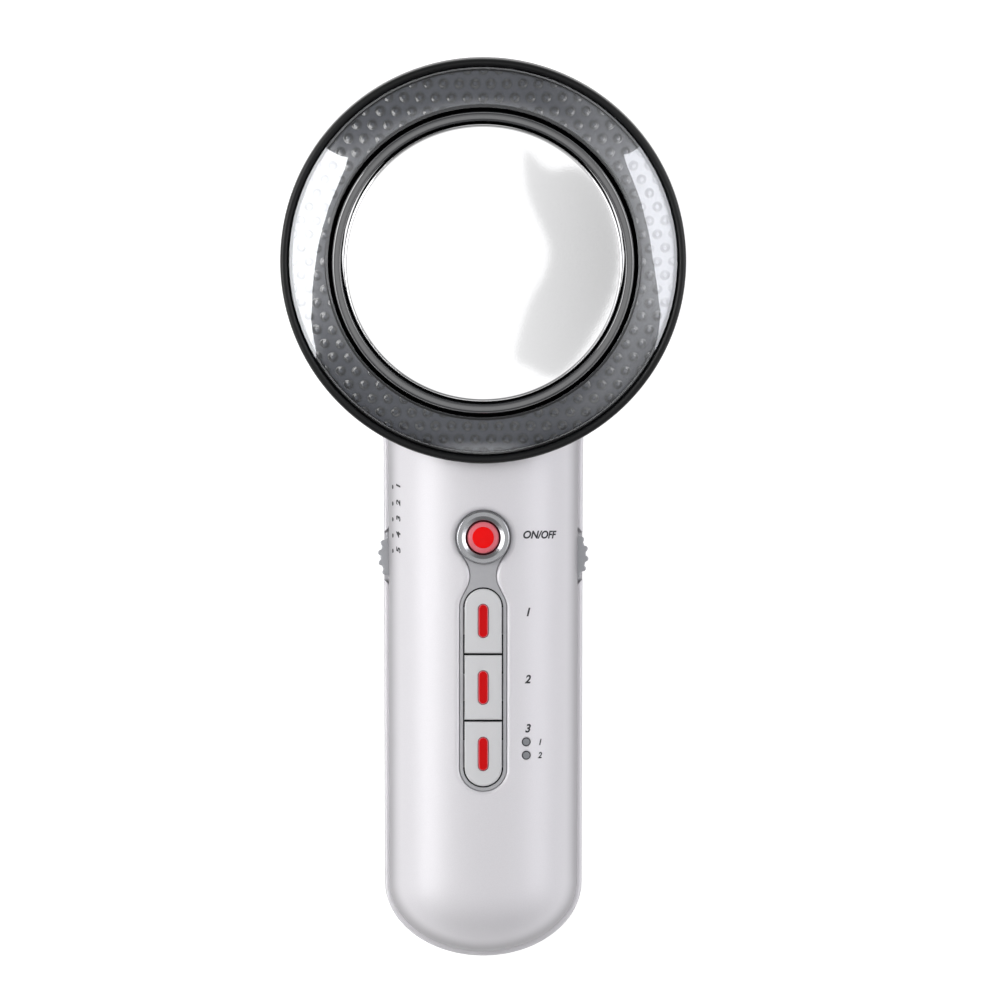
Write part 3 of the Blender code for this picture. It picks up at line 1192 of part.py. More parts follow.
def probe_retainer():
    """Black ring, screwed to the collar's posts, that clamps the probe's flange."""
    top = PROBE_BOTTOM - SEAT_GAP
    low = top - RETAINER_THICKNESS
    outer = COLLAR_POST_REACH + RETAINER_MARGIN
    retainer = washer("probe_retainer", RETAINER_BORE_RADIUS, outer, low, top, BLACK_PLASTIC)
    for i, (x, y) in enumerate(retainer_places()):
        hole = circle(SMALL_SCREW_RADIUS + SEAT_GAP, x, y, HOLE_STEPS)
        cut(retainer, prism(f"retainer_hole_{i}", hole, low - OVERRUN, top + OVERRUN, frame=HEAD_FRAME))
        screw(f"retainer_screw_{i + 1}", x, y, low - SEAT_GAP, SMALL_SCREW, RETAINER_SCREW_LENGTH, HEAD_FRAME)


def lamp_board():
    """Ring-shaped lamp board under the rim's ledge, with its infrared lamps standing in a circle."""
    inner = COLLAR_POST_REACH + RETAINER_MARGIN + SLIDE_GAP
    outer = SEAT_RADIUS - WALL - LAMP_BOARD_EDGE_GAP
    board = washer("lamp_board", inner, outer, LAMP_BOARD_BOTTOM, LAMP_BOARD_TOP, BOARD)
    cut(
        board,
        *lug_holes("lamp_board_hole", SMALL_SCREW_RADIUS + SEAT_GAP, LAMP_BOARD_BOTTOM - OVERRUN, OVERRUN),
    )
    for i, turn in enumerate(LUG_TURNS, 1):
        x, y = LUG_REACH * math.cos(turn), LUG_REACH * math.sin(turn)
        screw(f"rim_screw_{i}", x, y, LAMP_BOARD_BOTTOM - SEAT_GAP, SMALL_SCREW, RIM_SCREW_LENGTH, HEAD_FRAME)
    low = LAMP_BOARD_TOP + SEAT_GAP
    straight = low + LAMP_HEIGHT - LAMP_RADIUS
    dome = arc(0, straight, LAMP_RADIUS, 0, math.pi / 2, LAMP_STEPS)[:-1]
    profile = [(0, low), (LAMP_RADIUS, low), *dome, (0, straight + LAMP_RADIUS)]
    for i in range(LAMP_COUNT):
        turn = 2 * math.pi * i / LAMP_COUNT
        place = (LAMP_REACH * math.cos(turn), LAMP_REACH * math.sin(turn), 0)
        name = f"lamp_{i + 1}"
        revolve(name, profile, SMALL_ROUND_STEPS, surface=LED_CLEAR, frame=HEAD_FRAME, origin=place)


# Ways of the leads
PROBE_LEAD_X = -3 * MM
LAMP_LEAD_X = 6 * MM
LAMP_LEAD_INSET = 4.6 * MM
PROBE_LEAD_START = -8 * MM
LEAD_LANDING = 2.5 * MM
LEAD_STRAIGHT = 4 * MM
LEAD_LIFT = 3 * MM
LEAD_DROP = 15 * MM
LEAD_FALL = 20 * MM
LEAD_BACK = 8 * MM
LEAD_NECK_GAP = 1.3 * MM


def leads(piezo_bottom):
    """The two wires from the control board up into the head."""
    landing_y = CONTROL_BOARD_HIGH_Y - LEAD_LANDING
    landing_z = CONTROL_BOARD_TOP + LEAD_END_GAP
    start = HEAD_FRAME @ Vector((PROBE_LEAD_X, PROBE_LEAD_START, piezo_bottom - LEAD_END_GAP))
    down = HEAD_FRAME.to_3x3() @ Vector((0, 0, -1))
    neck_top = (HEAD_FRAME @ Vector((0, -LUG_REACH, LAMP_BOARD_BOTTOM))).z
    neck_z = neck_top - LEAD_NECK_GAP - LEAD_DIAMETER / 2
    board_end = [
        (landing_y + LEAD_FALL / 2, neck_z),
        (landing_y + LEAD_STRAIGHT, landing_z + LEAD_STRAIGHT + LEAD_LIFT / 2),
        (landing_y, landing_z + LEAD_STRAIGHT),
        (landing_y, landing_z),
    ]
    drop = start + down * LEAD_FALL
    route = [start, start + down * LEAD_STRAIGHT, start + down * LEAD_DROP]
    route += [Vector((drop.x, drop.y - LEAD_BACK, neck_z))]
    route += [Vector((PROBE_LEAD_X, (drop.y + landing_y) / 2, neck_z - LEAD_LIFT / 2))]
    route += [Vector((PROBE_LEAD_X, y, z)) for y, z in board_end]
    wire("probe_lead", route, LEAD_DIAMETER, RED_WIRE)
    lamp_lead_y = LAMP_LEAD_INSET - SEAT_RADIUS
    start = HEAD_FRAME @ Vector((LAMP_LEAD_X, lamp_lead_y, LAMP_BOARD_BOTTOM - LEAD_END_GAP))
    route = [start, start + down * LEAD_STRAIGHT / 2]
    route += [Vector((LAMP_LEAD_X, y, z)) for y, z in board_end[1:]]
    wire("lamp_lead", route, LEAD_DIAMETER, BLACK_WIRE)


front_shell()
rear_shell()
key_panel()
power_ring()
power_button()
tact_switch(1, POWER_Y)
bar_places = []
for key_index in range(KEY_COUNT):
    tact_switch(key_index + 2, mode_key(key_index))
    bar_places.append(light_bar(key_index))
control_board(bar_places)
for pipe_index, pipe_y in enumerate(INDICATORS_Y, 1):
    indicator_pipe(pipe_index, pipe_y)
for side_name, side_sign in (("left", -1), ("right", 1)):
    thumbwheel(f"thumbwheel_{side_name}", side_sign)
    wheel_control(f"wheel_control_{side_name}", side_sign)
transformer()
capacitor()
power_socket()
for number, (screw_x, screw_y) in enumerate(HANDLE_SCREWS + HEAD_SCREWS, 1):
    case_screw(f"shell_screw_{number}", screw_x, screw_y)
for number, (screw_x, screw_y) in enumerate(BOARD_SCREWS, 1):
    seat_z = CONTROL_BOARD_BOTTOM - SEAT_GAP
    screw(f"board_screw_{number}", screw_x, screw_y, seat_z, SMALL_SCREW, BOARD_SCREW_LENGTH)
rim_ring()
window_ring()
probe_collar()
probe_plate()
probe_gasket()
probe_retainer()
lamp_board()
leads(piezo_disc())
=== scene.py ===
import math

import bmesh
import bpy
from mathutils import Matrix, Vector


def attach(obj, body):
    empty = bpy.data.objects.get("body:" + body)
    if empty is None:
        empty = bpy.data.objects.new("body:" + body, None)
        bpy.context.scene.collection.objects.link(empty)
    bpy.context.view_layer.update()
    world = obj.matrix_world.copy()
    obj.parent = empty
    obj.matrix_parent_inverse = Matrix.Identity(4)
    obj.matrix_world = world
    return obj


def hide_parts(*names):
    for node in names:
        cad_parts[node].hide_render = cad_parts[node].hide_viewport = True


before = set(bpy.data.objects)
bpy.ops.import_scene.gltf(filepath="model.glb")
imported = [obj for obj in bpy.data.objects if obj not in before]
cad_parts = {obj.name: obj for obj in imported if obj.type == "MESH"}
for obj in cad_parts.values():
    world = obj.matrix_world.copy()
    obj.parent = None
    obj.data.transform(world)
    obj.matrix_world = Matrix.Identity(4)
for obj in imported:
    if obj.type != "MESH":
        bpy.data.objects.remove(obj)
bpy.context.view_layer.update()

# Rear cover: the handle's back and the head's rounded back in one moulding of ABS, sprayed silver.
# Its edge stands 1.1 mm outside the front cover all round and ends in a rounded lip. Four screws go
# in from this side, down deep wells.
MM = 0.001
END_Y = -102.5 * MM
END_ROUND = 17.1 * MM
HANDLE_HALF_WIDTH = 22.5 * MM
NECK_HALF_WIDTH = 22.8 * MM
NECK_FILLET = 12 * MM
PARTING_Z = 20 * MM
PARTING_GAP = 0.15 * MM
WALL = 2 * MM
BOWL_Y = 57.492 * MM
BOWL_RADIUS = 43.5 * MM
BOWL_FLAT_RADIUS = 16 * MM
REAR_SQUARENESS = 2.3
BACK_ARCH = 3 * MM
ARCH_LENGTH = 86 * MM
BACK_BLEND = 6 * MM
LIP_RADIUS = 0.7 * MM
TIP_ANGLE = math.radians(87.5)
FAR_ANGLE = math.radians(88)
SECTION_STEPS = 96
END_STEPS = 24
GRIP_STEPS = 50
HEAD_STEPS = 90
SHARP_ANGLE = math.radians(35)
REACH_HALVINGS = 40
WELD_DISTANCE = MM / 10000
ROUND_STEPS = 48
FINE_ROUND_STEPS = 96
LIP_STEPS = 6
SLIDE_GAP = 0.3 * MM
BOSS_RADIUS = 4.2 * MM
SCREW_SEAT_Z = 12 * MM
CASE_SCREW_HEAD_RADIUS = 2.5 * MM
CASE_SCREW_RADIUS = 1.3 * MM
CASE_SCREWS = [(side * 12 * MM, -72.508 * MM) for side in (-1, 1)]
CASE_SCREWS += [(side * 23.462 * MM, 85.453 * MM) for side in (-1, 1)]
WHEEL_RADIUS = 8 * MM
WHEEL_X = 16.1 * MM
WHEEL_Y = -11.007 * MM
WHEEL_WIDTH = 3 * MM
WHEEL_SLOT_GAP = 0.5 * MM
SOCKET_RADIUS = 4.2 * MM
SOCKET_GAP = 0.35 * MM
SOCKET_SINK = 2.2 * MM
SOCKET_DROP = 5.7 * MM
OVERRUN = 3 * MM
END_CENTRE = END_Y + END_ROUND
FILLET_CENTRE_X = NECK_HALF_WIDTH + NECK_FILLET
FILLET_Y = BOWL_Y - math.sqrt((BOWL_RADIUS + NECK_FILLET) ** 2 - FILLET_CENTRE_X**2)
FILLET_REACH = NECK_FILLET * (BOWL_Y - FILLET_Y) / (BOWL_RADIUS + NECK_FILLET)
SOCKET_PLACE = (0, END_Y + SOCKET_SINK, PARTING_Z - SOCKET_DROP)
SOCKET_FRAME = Matrix.Translation(SOCKET_PLACE) @ Matrix.Rotation(-math.pi / 2, 4, "X")


def end_share(y, inset, squareness=2):
    """How much of the handle's section is left at y: all of it, until the rounded end takes it away."""
    past = max(END_CENTRE - y, 0) / (END_ROUND - inset)
    return max(1 - past**squareness, 0) ** (1 / squareness)


def handle_half_width(y, inset):
    """Half width of the handle: a rounded end, a grip that widens a little, and the neck's fillet."""
    share = min(max((y - END_CENTRE) / (FILLET_Y - END_CENTRE), 0), 1)
    width = HANDLE_HALF_WIDTH + (NECK_HALF_WIDTH - HANDLE_HALF_WIDTH) * share
    past = min(max(y - FILLET_Y, 0), FILLET_REACH)
    width += NECK_FILLET - math.sqrt(NECK_FILLET**2 - past**2)
    return (width - inset) * end_share(y, inset)


def bowl_half_width(y, inset):
    """Half width of the head's round outline at y."""
    return math.sqrt(max((BOWL_RADIUS - inset) ** 2 - (y - BOWL_Y) ** 2, 0))


def rear_depth(x, y, inset):
    """How far the back lies under the parting plane: the handle's section and the bowl, run together."""
    deep = PARTING_Z - inset
    stop = BOWL_Y - BOWL_FLAT_RADIUS
    share = (y - stop + ARCH_LENGTH) / ARCH_LENGTH
    arch = BACK_ARCH * math.sin(math.pi * share) ** 2 if 0 < share < 1 else 0
    fade = max(1 - (max(y - stop, 0) / BOWL_FLAT_RADIUS) ** 2, 0)
    width = handle_half_width(y, inset)
    handle = bowl = 0
    if abs(x) < width:
        fullness = (1 - (abs(x) / width) ** REAR_SQUARENESS) ** (1 / REAR_SQUARENESS)
        handle = (deep - arch) * end_share(y, inset) * fade * fullness
    out = (math.hypot(x, y - BOWL_Y) - BOWL_FLAT_RADIUS) / (BOWL_RADIUS - BOWL_FLAT_RADIUS - inset)
    if out < 1:
        bowl = deep * math.sqrt(1 - max(out, 0) ** 2)
    more, less = max(handle, bowl), min(handle, bowl)
    blend = min(BACK_BLEND, 2 * less, 4 * (deep - more))
    return more + max(blend - (more - less), 0) ** 2 / (4 * blend) if blend > 0 else more


def rear_rows(inset):
    """Where the sections stand along Y: close together at both ends."""
    tips = [TIP_ANGLE * (1 - i / END_STEPS) for i in range(END_STEPS)]
    rows = [END_CENTRE - (END_ROUND - inset) * math.sin(angle) for angle in tips]
    rows += [END_CENTRE + (FILLET_Y - END_CENTRE) * i / GRIP_STEPS for i in range(GRIP_STEPS)]
    far = BOWL_Y + (BOWL_RADIUS - inset) * math.sin(FAR_ANGLE)
    turns = [math.pi / 2 * i / HEAD_STEPS for i in range(HEAD_STEPS + 1)]
    return rows + [FILLET_Y + (far - FILLET_Y) * math.sin(turn) for turn in turns]


def edge_reach(y, inset, depth):
    """How far from the middle the back is still that deep."""
    high = max(handle_half_width(y, inset) if y < BOWL_Y else 0, bowl_half_width(y, inset))
    low = 0
    for _ in range(REACH_HALVINGS):
        middle = (low + high) / 2
        if rear_depth(middle, y, inset) > depth:
            low = middle
        else:
            high = middle
    return (low + high) / 2


def piece_from(name, bm):
    """The named object of a bmesh, welded, facing outward, smooth with its hard edges kept."""
    bmesh.ops.remove_doubles(bm, verts=bm.verts, dist=WELD_DISTANCE)
    bmesh.ops.recalc_face_normals(bm, faces=bm.faces)
    mesh = bpy.data.meshes.new(name)
    bm.to_mesh(mesh)
    bm.free()
    mesh.shade_smooth()
    mesh.set_sharp_from_angle(angle=SHARP_ANGLE)
    made = bpy.data.objects.new(name, mesh)
    bpy.context.collection.objects.link(made)
    return made


def bridge(bm, low, high, closed=True):
    """Faces between two rows of as many points."""
    for i in range(len(low) if closed else len(low) - 1):
        j = (i + 1) % len(low)
        bm.faces.new((low[i], low[j], high[j], high[i]))


def rear_solid(name, inset, depth, rims):
    """The back's form brought in by inset, from depth under the parting plane up over the rims.

    Each rim is a ring round the outline: how far in it lies, and its height.
    """
    bm = bmesh.new()
    grid = []
    for y in rear_rows(inset):
        reach = edge_reach(y, inset, depth)
        places = [reach * math.cos(math.pi * i / SECTION_STEPS) for i in range(SECTION_STEPS + 1)]
        row = [(x, y, PARTING_Z - max(rear_depth(x, y, inset), depth)) for x in places]
        grid.append([bm.verts.new(point) for point in row])
    for low, high in zip(grid, grid[1:]):
        bridge(bm, low, high, closed=False)
    bm.faces.new(grid[0])
    bm.faces.new(grid[-1])
    loop = [row[0] for row in grid] + [row[-1] for row in reversed(grid)]
    edge = [point.co.xy for point in loop]
    inward = []
    for before, after in zip([edge[-1], *edge], [*edge[1:], edge[0]]):
        along = (after - before).normalized()
        inward.append(Vector((-along.y, along.x)))
    for distance, height in rims:
        moved = [place + way * distance for place, way in zip(edge, inward)]
        ring = [bm.verts.new((*place, height)) for place in moved]
        bridge(bm, loop, ring)
        loop = ring
    bm.faces.new(loop)
    return piece_from(name, bm)


def circle(radius, x=0.0, y=0.0, steps=ROUND_STEPS):
    """A circle's outline."""
    turns = [2 * math.pi * i / steps for i in range(steps)]
    return [(x + radius * math.cos(turn), y + radius * math.sin(turn)) for turn in turns]


def loft(name, rings, place=None):
    """A solid through closed rings of as many points."""
    bm = bmesh.new()
    rows = [[bm.verts.new(point) for point in ring] for ring in rings]
    for low, high in zip(rows, rows[1:]):
        bridge(bm, low, high)
    bm.faces.new(rows[0])
    bm.faces.new(rows[-1])
    if place:
        bm.transform(place)
    return piece_from(name, bm)


def prism(name, outline, low, high, place=None):
    """An outline in XY drawn up from low to high."""
    return loft(name, [[(x, y, z) for x, y in outline] for z in (low, high)], place)


def pins(name, places, radius, low, high, place=None, steps=ROUND_STEPS):
    """A round pin from low up to high at each of some places."""
    outlines = [circle(radius, x, y, steps) for x, y in places]
    return [prism(f"{name}_{i}", outline, low, high, place) for i, outline in enumerate(outlines)]


def shape(target, **tools):
    """Joins, cuts or crops a solid by others, which are used up, and settles it into its mesh."""
    used = []
    for operation in ("union", "difference", "intersect"):
        for tool in tools.get(operation, ()):
            modifier = target.modifiers.new(tool.name, "BOOLEAN")
            modifier.operation = operation.upper()
            modifier.solver = "MANIFOLD"
            modifier.object = tool
            used.append(tool)
    seen = bpy.context.evaluated_depsgraph_get()
    settled = bpy.data.meshes.new_from_object(target.evaluated_get(seen))
    target.modifiers.clear()
    target.data = settled
    settled.shade_smooth()
    settled.set_sharp_from_angle(angle=SHARP_ANGLE)
    for tool in used:
        bpy.data.objects.remove(tool, do_unlink=True)
    return target


def wheel_slots(name):
    """Room for the two thumbwheels through the side walls."""
    places = [(side * WHEEL_X, WHEEL_Y) for side in (-1, 1)]
    radius, reach = WHEEL_RADIUS + WHEEL_SLOT_GAP, WHEEL_WIDTH / 2 + WHEEL_SLOT_GAP
    return pins(name, places, radius, PARTING_Z - reach, PARTING_Z + reach, steps=FINE_ROUND_STEPS)


def colour(code):
    """An sRGB hex colour as linear red, green, blue and alpha."""
    channels = [int(code[i : i + 2], 16) / 255 for i in (1, 3, 5)]
    return (*[c / 12.92 if c <= 0.04045 else ((c + 0.055) / 1.055) ** 2.4 for c in channels], 1)


def node(tree, kind, inputs, **settings):
    """A node with its settings; each input is a value, or the output that feeds it."""
    made = tree.nodes.new(kind)
    for field, value in settings.items():
        setattr(made, field, value)
    for socket, value in inputs.items():
        if isinstance(value, bpy.types.NodeSocket):
            tree.links.new(value, made.inputs[socket])
        else:
            made.inputs[socket].default_value = value
    return made


# A Mix node's sockets go by number, because several have one name: its share, two colours and result.
MIX_SHARE, MIX_FIRST, MIX_SECOND, MIX_RESULT = 0, 6, 7, 2


def finish(name, shades, grain, relief, sockets):
    """A finish that wanders between two shades, with fine relief; grain and relief are real sizes."""
    made = bpy.data.materials.new(name)
    made.use_nodes = True
    tree = made.node_tree
    shader = tree.nodes["Principled BSDF"]
    for socket, value in sockets.items():
        shader.inputs[socket].default_value = value
    place = node(tree, "ShaderNodeTexCoord", {})
    pattern = {"Vector": place.outputs["Object"], "Scale": 1 / grain, "Detail": 4}
    speckle = node(tree, "ShaderNodeTexNoise", pattern)
    first, second = [colour(shade) for shade in shades]
    mixing = {MIX_SHARE: speckle.outputs["Fac"], MIX_FIRST: first, MIX_SECOND: second}
    mixed = node(tree, "ShaderNodeMix", mixing, data_type="RGBA")
    bump = node(tree, "ShaderNodeBump", {"Height": speckle.outputs["Fac"], "Distance": relief})
    tree.links.new(mixed.outputs[MIX_RESULT], shader.inputs["Base Color"])
    tree.links.new(bump.outputs["Normal"], shader.inputs["Normal"])
    return made


def tinted(surface, share, tint):
    """Turns a finish to another colour as far as share says."""
    tree = surface.node_tree
    base = tree.nodes["Principled BSDF"].inputs["Base Color"]
    mixing = {MIX_SHARE: share, MIX_FIRST: base.links[0].from_socket, MIX_SECOND: colour(tint)}
    mixed = node(tree, "ShaderNodeMix", mixing, data_type="RGBA")
    tree.links.new(mixed.outputs[MIX_RESULT], base)


def dress(piece, surface, body="housing", replaces=()):
    """Gives a piece its finish and its body, and hides the nodes it stands for."""
    piece.data.materials.clear()
    piece.data.materials.append(surface)
    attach(piece, body)
    if replaces:
        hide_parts(*replaces)
    return piece


# Silver lacquer on moulded ABS: aluminium flake under a satin clear coat. It gives soft, broad
# highlights and a faint sparkle. Where it is seen at a slant it is tinted darker: partly the flop of
# flakes that lie flat, partly painted shade on the flanks and the handle's end. Real flakes are
# about 0.03 mm; they are drawn at 0.2 mm to show.
SILVER = finish(
    "sprayed_silver_lacquer_on_abs",
    ("#d8d6da", "#e4e2e6"),
    0.2 * MM,
    0.003 * MM,
    {"Metallic": 0.25, "Roughness": 0.52, "Coat Weight": 0.1, "Coat Roughness": 0.3},
)
SLANT_STARTS = 0.45
SLANT_ENDS = 0.85
# A darker tint where the cover is seen at a slant: partly flake flop, partly painted shade.
slant = node(SILVER.node_tree, "ShaderNodeLayerWeight", {"Blend": 0.5})
flop_and_painted_shade_share = node(
    SILVER.node_tree,
    "ShaderNodeMapRange",
    {"Value": slant.outputs["Facing"], "From Min": SLANT_STARTS, "From Max": SLANT_ENDS},
    interpolation_type="SMOOTHSTEP",
)
tinted(SILVER, flop_and_painted_shade_share.outputs[0], "#a5a3a7")

lip_base = PARTING_Z - PARTING_GAP / 2 - LIP_RADIUS
lip = []
for i in range(1, LIP_STEPS + 1):
    turn = math.pi / 2 * i / LIP_STEPS
    lip.append((LIP_RADIUS * (1 - math.cos(turn)), lip_base + LIP_RADIUS * math.sin(turn)))
rear_cover = rear_solid("rear_cover", 0, LIP_RADIUS + PARTING_GAP / 2, lip)
rear_hollow = rear_solid("rear_hollow", WALL, 0, [(0, PARTING_Z + OVERRUN)])
rear_bosses = pins("rear_boss", CASE_SCREWS, BOSS_RADIUS, -OVERRUN, PARTING_Z + 2 * OVERRUN)
shape(rear_hollow, difference=rear_bosses)
wells = pins("well", CASE_SCREWS, CASE_SCREW_HEAD_RADIUS + SLIDE_GAP, -OVERRUN, SCREW_SEAT_Z)
shank_radius = CASE_SCREW_RADIUS + SLIDE_GAP
shanks = pins("shank", CASE_SCREWS, shank_radius, SCREW_SEAT_Z - MM, PARTING_Z + OVERRUN)
socket_bore = circle(SOCKET_RADIUS + SOCKET_GAP, steps=FINE_ROUND_STEPS)
socket_hole = prism("socket_hole", socket_bore, -2 * OVERRUN, END_ROUND - SOCKET_SINK, SOCKET_FRAME)
shape(rear_cover, difference=[rear_hollow, *wells, *shanks, *wheel_slots("rear_slot"), socket_hole])
dress(rear_cover, SILVER, replaces=["rear_shell"])

# Front cover: the handle's front with the head's side wall, one moulding in the same silver lacquer.
# A ledge inside the head carries the rim, and a keyhole-shaped opening with a rounded edge holds
# the control panel.
FRONT_INSET = 1.1 * MM
FRONT_RISE = 19.5 * MM
FRONT_SQUARENESS = 2.2
FRONT_END_SQUARENESS = 2.7
FRONT_Z = PARTING_Z + FRONT_RISE
HEAD_Y = 55.992 * MM
HEAD_TILT = math.radians(5)
RIM_HEIGHT = 47.5 * MM
RIM_RADIUS = 46.2 * MM
RIM_DEPTH = 6 * MM
SEAT_GAP = 0.2 * MM
SEAT_RADIUS = 45.2 * MM
SEAT_LEVEL = -RIM_DEPTH - SEAT_GAP
LEDGE_THICKNESS = 2 * MM
NECK_WALL_OVERLAP = 1.5 * MM
LUG_BORE_RADIUS = 40.5 * MM
LUG_REACH = 41 * MM
LUG_RADIUS = 2.6 * MM
LUG_INNER_RADIUS = LUG_REACH - LUG_RADIUS - SEAT_GAP
LUG_TURNS = [math.radians(degrees) for degrees in (90, 210, 330)]
BORE_ARC_STEPS = 40
SIDE_STEPS = 16
HEAD_ROUND_STEPS = 192
FRONT_BOSS_RADIUS = 3.2 * MM
HEAD_BOSS_HEIGHT = 12 * MM
BOSS_RIB = 2 * MM
CASE_SCREW_LENGTH = 16 * MM
BOARD_TOP_Z = 28.15 * MM
BOARD_POST_RADIUS = 2.2 * MM
BOARD_POSTS = [(side * 11.2 * MM, y) for side in (-1, 1) for y in (-62.708 * MM, 1.842 * MM)]
POWER_Y = -6.858 * MM
POWER_RING_RADIUS = 6 * MM
KEYS_TOP_Y = -18.508 * MM
KEYS_BOTTOM_Y = -63.508 * MM
KEY_HALF_WIDTH = 4.25 * MM
PANEL_BORDER = 0.8 * MM
PANEL_HALF_WIDTH = KEY_HALF_WIDTH + SLIDE_GAP + PANEL_BORDER
PANEL_HEAD_RADIUS = POWER_RING_RADIUS + SEAT_GAP
PANEL_NECK_HALF_WIDTH = 2.95 * MM
NECK_MEETS = math.radians(50)
NECK_STEPS = 14
KEYHOLE_STEPS = 28
OPENING_EDGE = 1.2 * MM
OPENING_FALL = 0.8 * MM
PANEL_SINK = 0.6 * MM
PANEL_GAP = 0.1 * MM
INDICATOR_EDGE = 0.25 * MM
EDGE_TURNS = [math.radians(degrees) for degrees in (0, 15, 30, 45, 60, 75, 88)]
TOP_RINGS = 8
INDICATOR_X = 9.8 * MM
INDICATOR_RADIUS = 0.85 * MM
INDICATOR_GAP = 0.15 * MM
INDICATORS_Y = [-53.408 * MM, -56.458 * MM]
HEAD = Matrix.Translation((0, HEAD_Y, RIM_HEIGHT)) @ Matrix.Rotation(HEAD_TILT, 4, "X")


def front_top(x, depth=0.0):
    """Height of the front's curve, or of the surface depth under it, at a distance from the middle."""
    share = min(abs(x) / (HANDLE_HALF_WIDTH - FRONT_INSET - depth), 1)
    return PARTING_Z + (FRONT_RISE - depth) * (1 - share**FRONT_SQUARENESS) ** (1 / FRONT_SQUARENESS)


def front_solid(name, depth, foot):
    """The handle's front, depth under its surface, with its flat side at height foot."""
    inset = FRONT_INSET + depth
    tips = [TIP_ANGLE * (1 - i / END_STEPS) for i in range(END_STEPS)]
    rows = [END_CENTRE - (END_ROUND - inset) * math.sin(angle) for angle in tips]
    rows += [END_CENTRE + (FILLET_Y - END_CENTRE) * i / GRIP_STEPS for i in range(GRIP_STEPS)]
    stop = BOWL_Y - BOWL_FLAT_RADIUS + inset
    rows += [FILLET_Y + (stop - FILLET_Y) * i / END_STEPS for i in range(END_STEPS + 1)]
    power = 2 / FRONT_SQUARENESS
    rings = []
    for y in rows:
        width = handle_half_width(y, inset)
        rise = (FRONT_RISE - depth) * end_share(y, inset, FRONT_END_SQUARENESS)
        ring = []
        for i in range(SECTION_STEPS + 1):
            turn = math.pi * i / SECTION_STEPS
            across = math.copysign(abs(math.cos(turn)) ** power, math.cos(turn))
            height = PARTING_Z + rise * abs(math.sin(turn)) ** power if 0 < i < SECTION_STEPS else foot
            ring.append((across * width, y, height))
        rings.append(ring)
    return loft(name, rings)


def tilted_ring(centre, radius, tilt):
    """A circle round centre, tipped about X."""
    up = Vector((0, math.cos(tilt), math.sin(tilt)))
    flat = circle(radius, steps=HEAD_ROUND_STEPS)
    return [centre + Vector((x, 0, 0)) + y * up for x, y in flat]


def head_side(name, inset, foot, top):
    """The head's side wall as a solid, swelling from the parting circle up to the tilted rim."""
    low = Vector((0, BOWL_Y, PARTING_Z))
    high = HEAD @ Vector((0, 0, -RIM_DEPTH))
    low_radius = BOWL_RADIUS - FRONT_INSET - inset
    rings = [tilted_ring(Vector((0, BOWL_Y, foot)), low_radius, 0)]
    for i in range(1, SIDE_STEPS + 1):
        share = i / SIDE_STEPS
        radius = low_radius + (SEAT_RADIUS - inset - low_radius) * math.sin(math.pi / 2 * share)
        rings.append(tilted_ring(low.lerp(high, share), radius, HEAD_TILT * share))
    rings.append(tilted_ring(HEAD @ Vector((0, 0, top)), SEAT_RADIUS - inset, HEAD_TILT))
    return loft(name, rings)


def revolve(name, profile, place=None, steps=HEAD_ROUND_STEPS):
    """A profile of (radius, height) turned about Z: a ring, or a solid if its ends lie on the axis."""
    bm = bmesh.new()
    rows = []
    for along, across in circle(1, steps=steps):
        points = [(radius * along, radius * across, height) for radius, height in profile]
        rows.append([bm.verts.new(point) for point in points])
    for near, far in zip(rows, [*rows[1:], rows[0]]):
        bridge(bm, near, far, closed=profile[0][0] > 0)
    if place:
        bm.transform(place)
    return piece_from(name, bm)


def arc(x, y, radius, start, stop, steps=12):
    """Points along an arc about (x, y), between two angles in radians."""
    turns = [start + (stop - start) * i / steps for i in range(steps + 1)]
    return [(x + radius * math.cos(turn), y + radius * math.sin(turn)) for turn in turns]


def lug_places(reach):
    """The middles of the three lugs, at a distance from the head's axis."""
    return [(reach * math.cos(turn), reach * math.sin(turn)) for turn in LUG_TURNS]


def lobed_bore(name, low, high):
    """The opening inside rim and ledge: round, with a lug left at each screw."""
    bore, reach, lug = LUG_BORE_RADIUS, LUG_REACH, LUG_RADIUS
    half_turn = math.acos((reach**2 + bore**2 - lug**2) / (2 * reach * bore))
    half_sweep = math.acos((reach**2 + lug**2 - bore**2) / (2 * reach * lug))
    between = 2 * math.pi / len(LUG_TURNS)
    outline = []
    for turn, (x, y) in zip(LUG_TURNS, lug_places(reach)):
        inward = turn + math.pi
        outline += arc(x, y, lug, inward + half_sweep, inward - half_sweep)
        start, stop = turn + half_turn, turn + between - half_turn
        outline += arc(0, 0, bore, start, stop, BORE_ARC_STEPS)[1:-1]
    return prism(name, outline, low, high, HEAD)


def crowned(name, outline, low, sink, edge, middle):
    """A solid from low up to a rounded edge and a top that follows the front's curve, sunk under it.

    outline gives the points for a growth; middle is how far the top's rings close in.
    """
    rings = [[(x, y, low) for x, y in outline(0)]]
    for turn in EDGE_TURNS:
        inner = outline(-edge * (1 - math.cos(turn)))
        rings.append([(x, y, front_top(x, sink) - edge * (1 - math.sin(turn))) for x, y in inner])
    for i in range(1, TOP_RINGS + 1):
        inner = outline(-edge - (middle - edge) * i / TOP_RINGS)
        rings.append([(x, y, front_top(x, sink)) for x, y in inner])
    return loft(name, rings)


def flared(name, outline, low, sink, edge, fall):
    """A cutter that goes up from low and leaves a rounded edge in such a top, edge wide and fall deep."""
    rings = [[(x, y, low) for x, y in outline(0)]]
    for turn in EDGE_TURNS:
        wider = outline(edge * (1 - math.cos(turn)))
        rings.append([(x, y, front_top(x, sink) - fall * (1 - math.sin(turn))) for x, y in wider])
    rings.append([(x, y, front_top(x, sink) + edge) for x, y in outline(2 * edge)])
    rings.append([(x, y, FRONT_Z + OVERRUN) for x, y in outline(2 * edge)])
    return loft(name, rings)


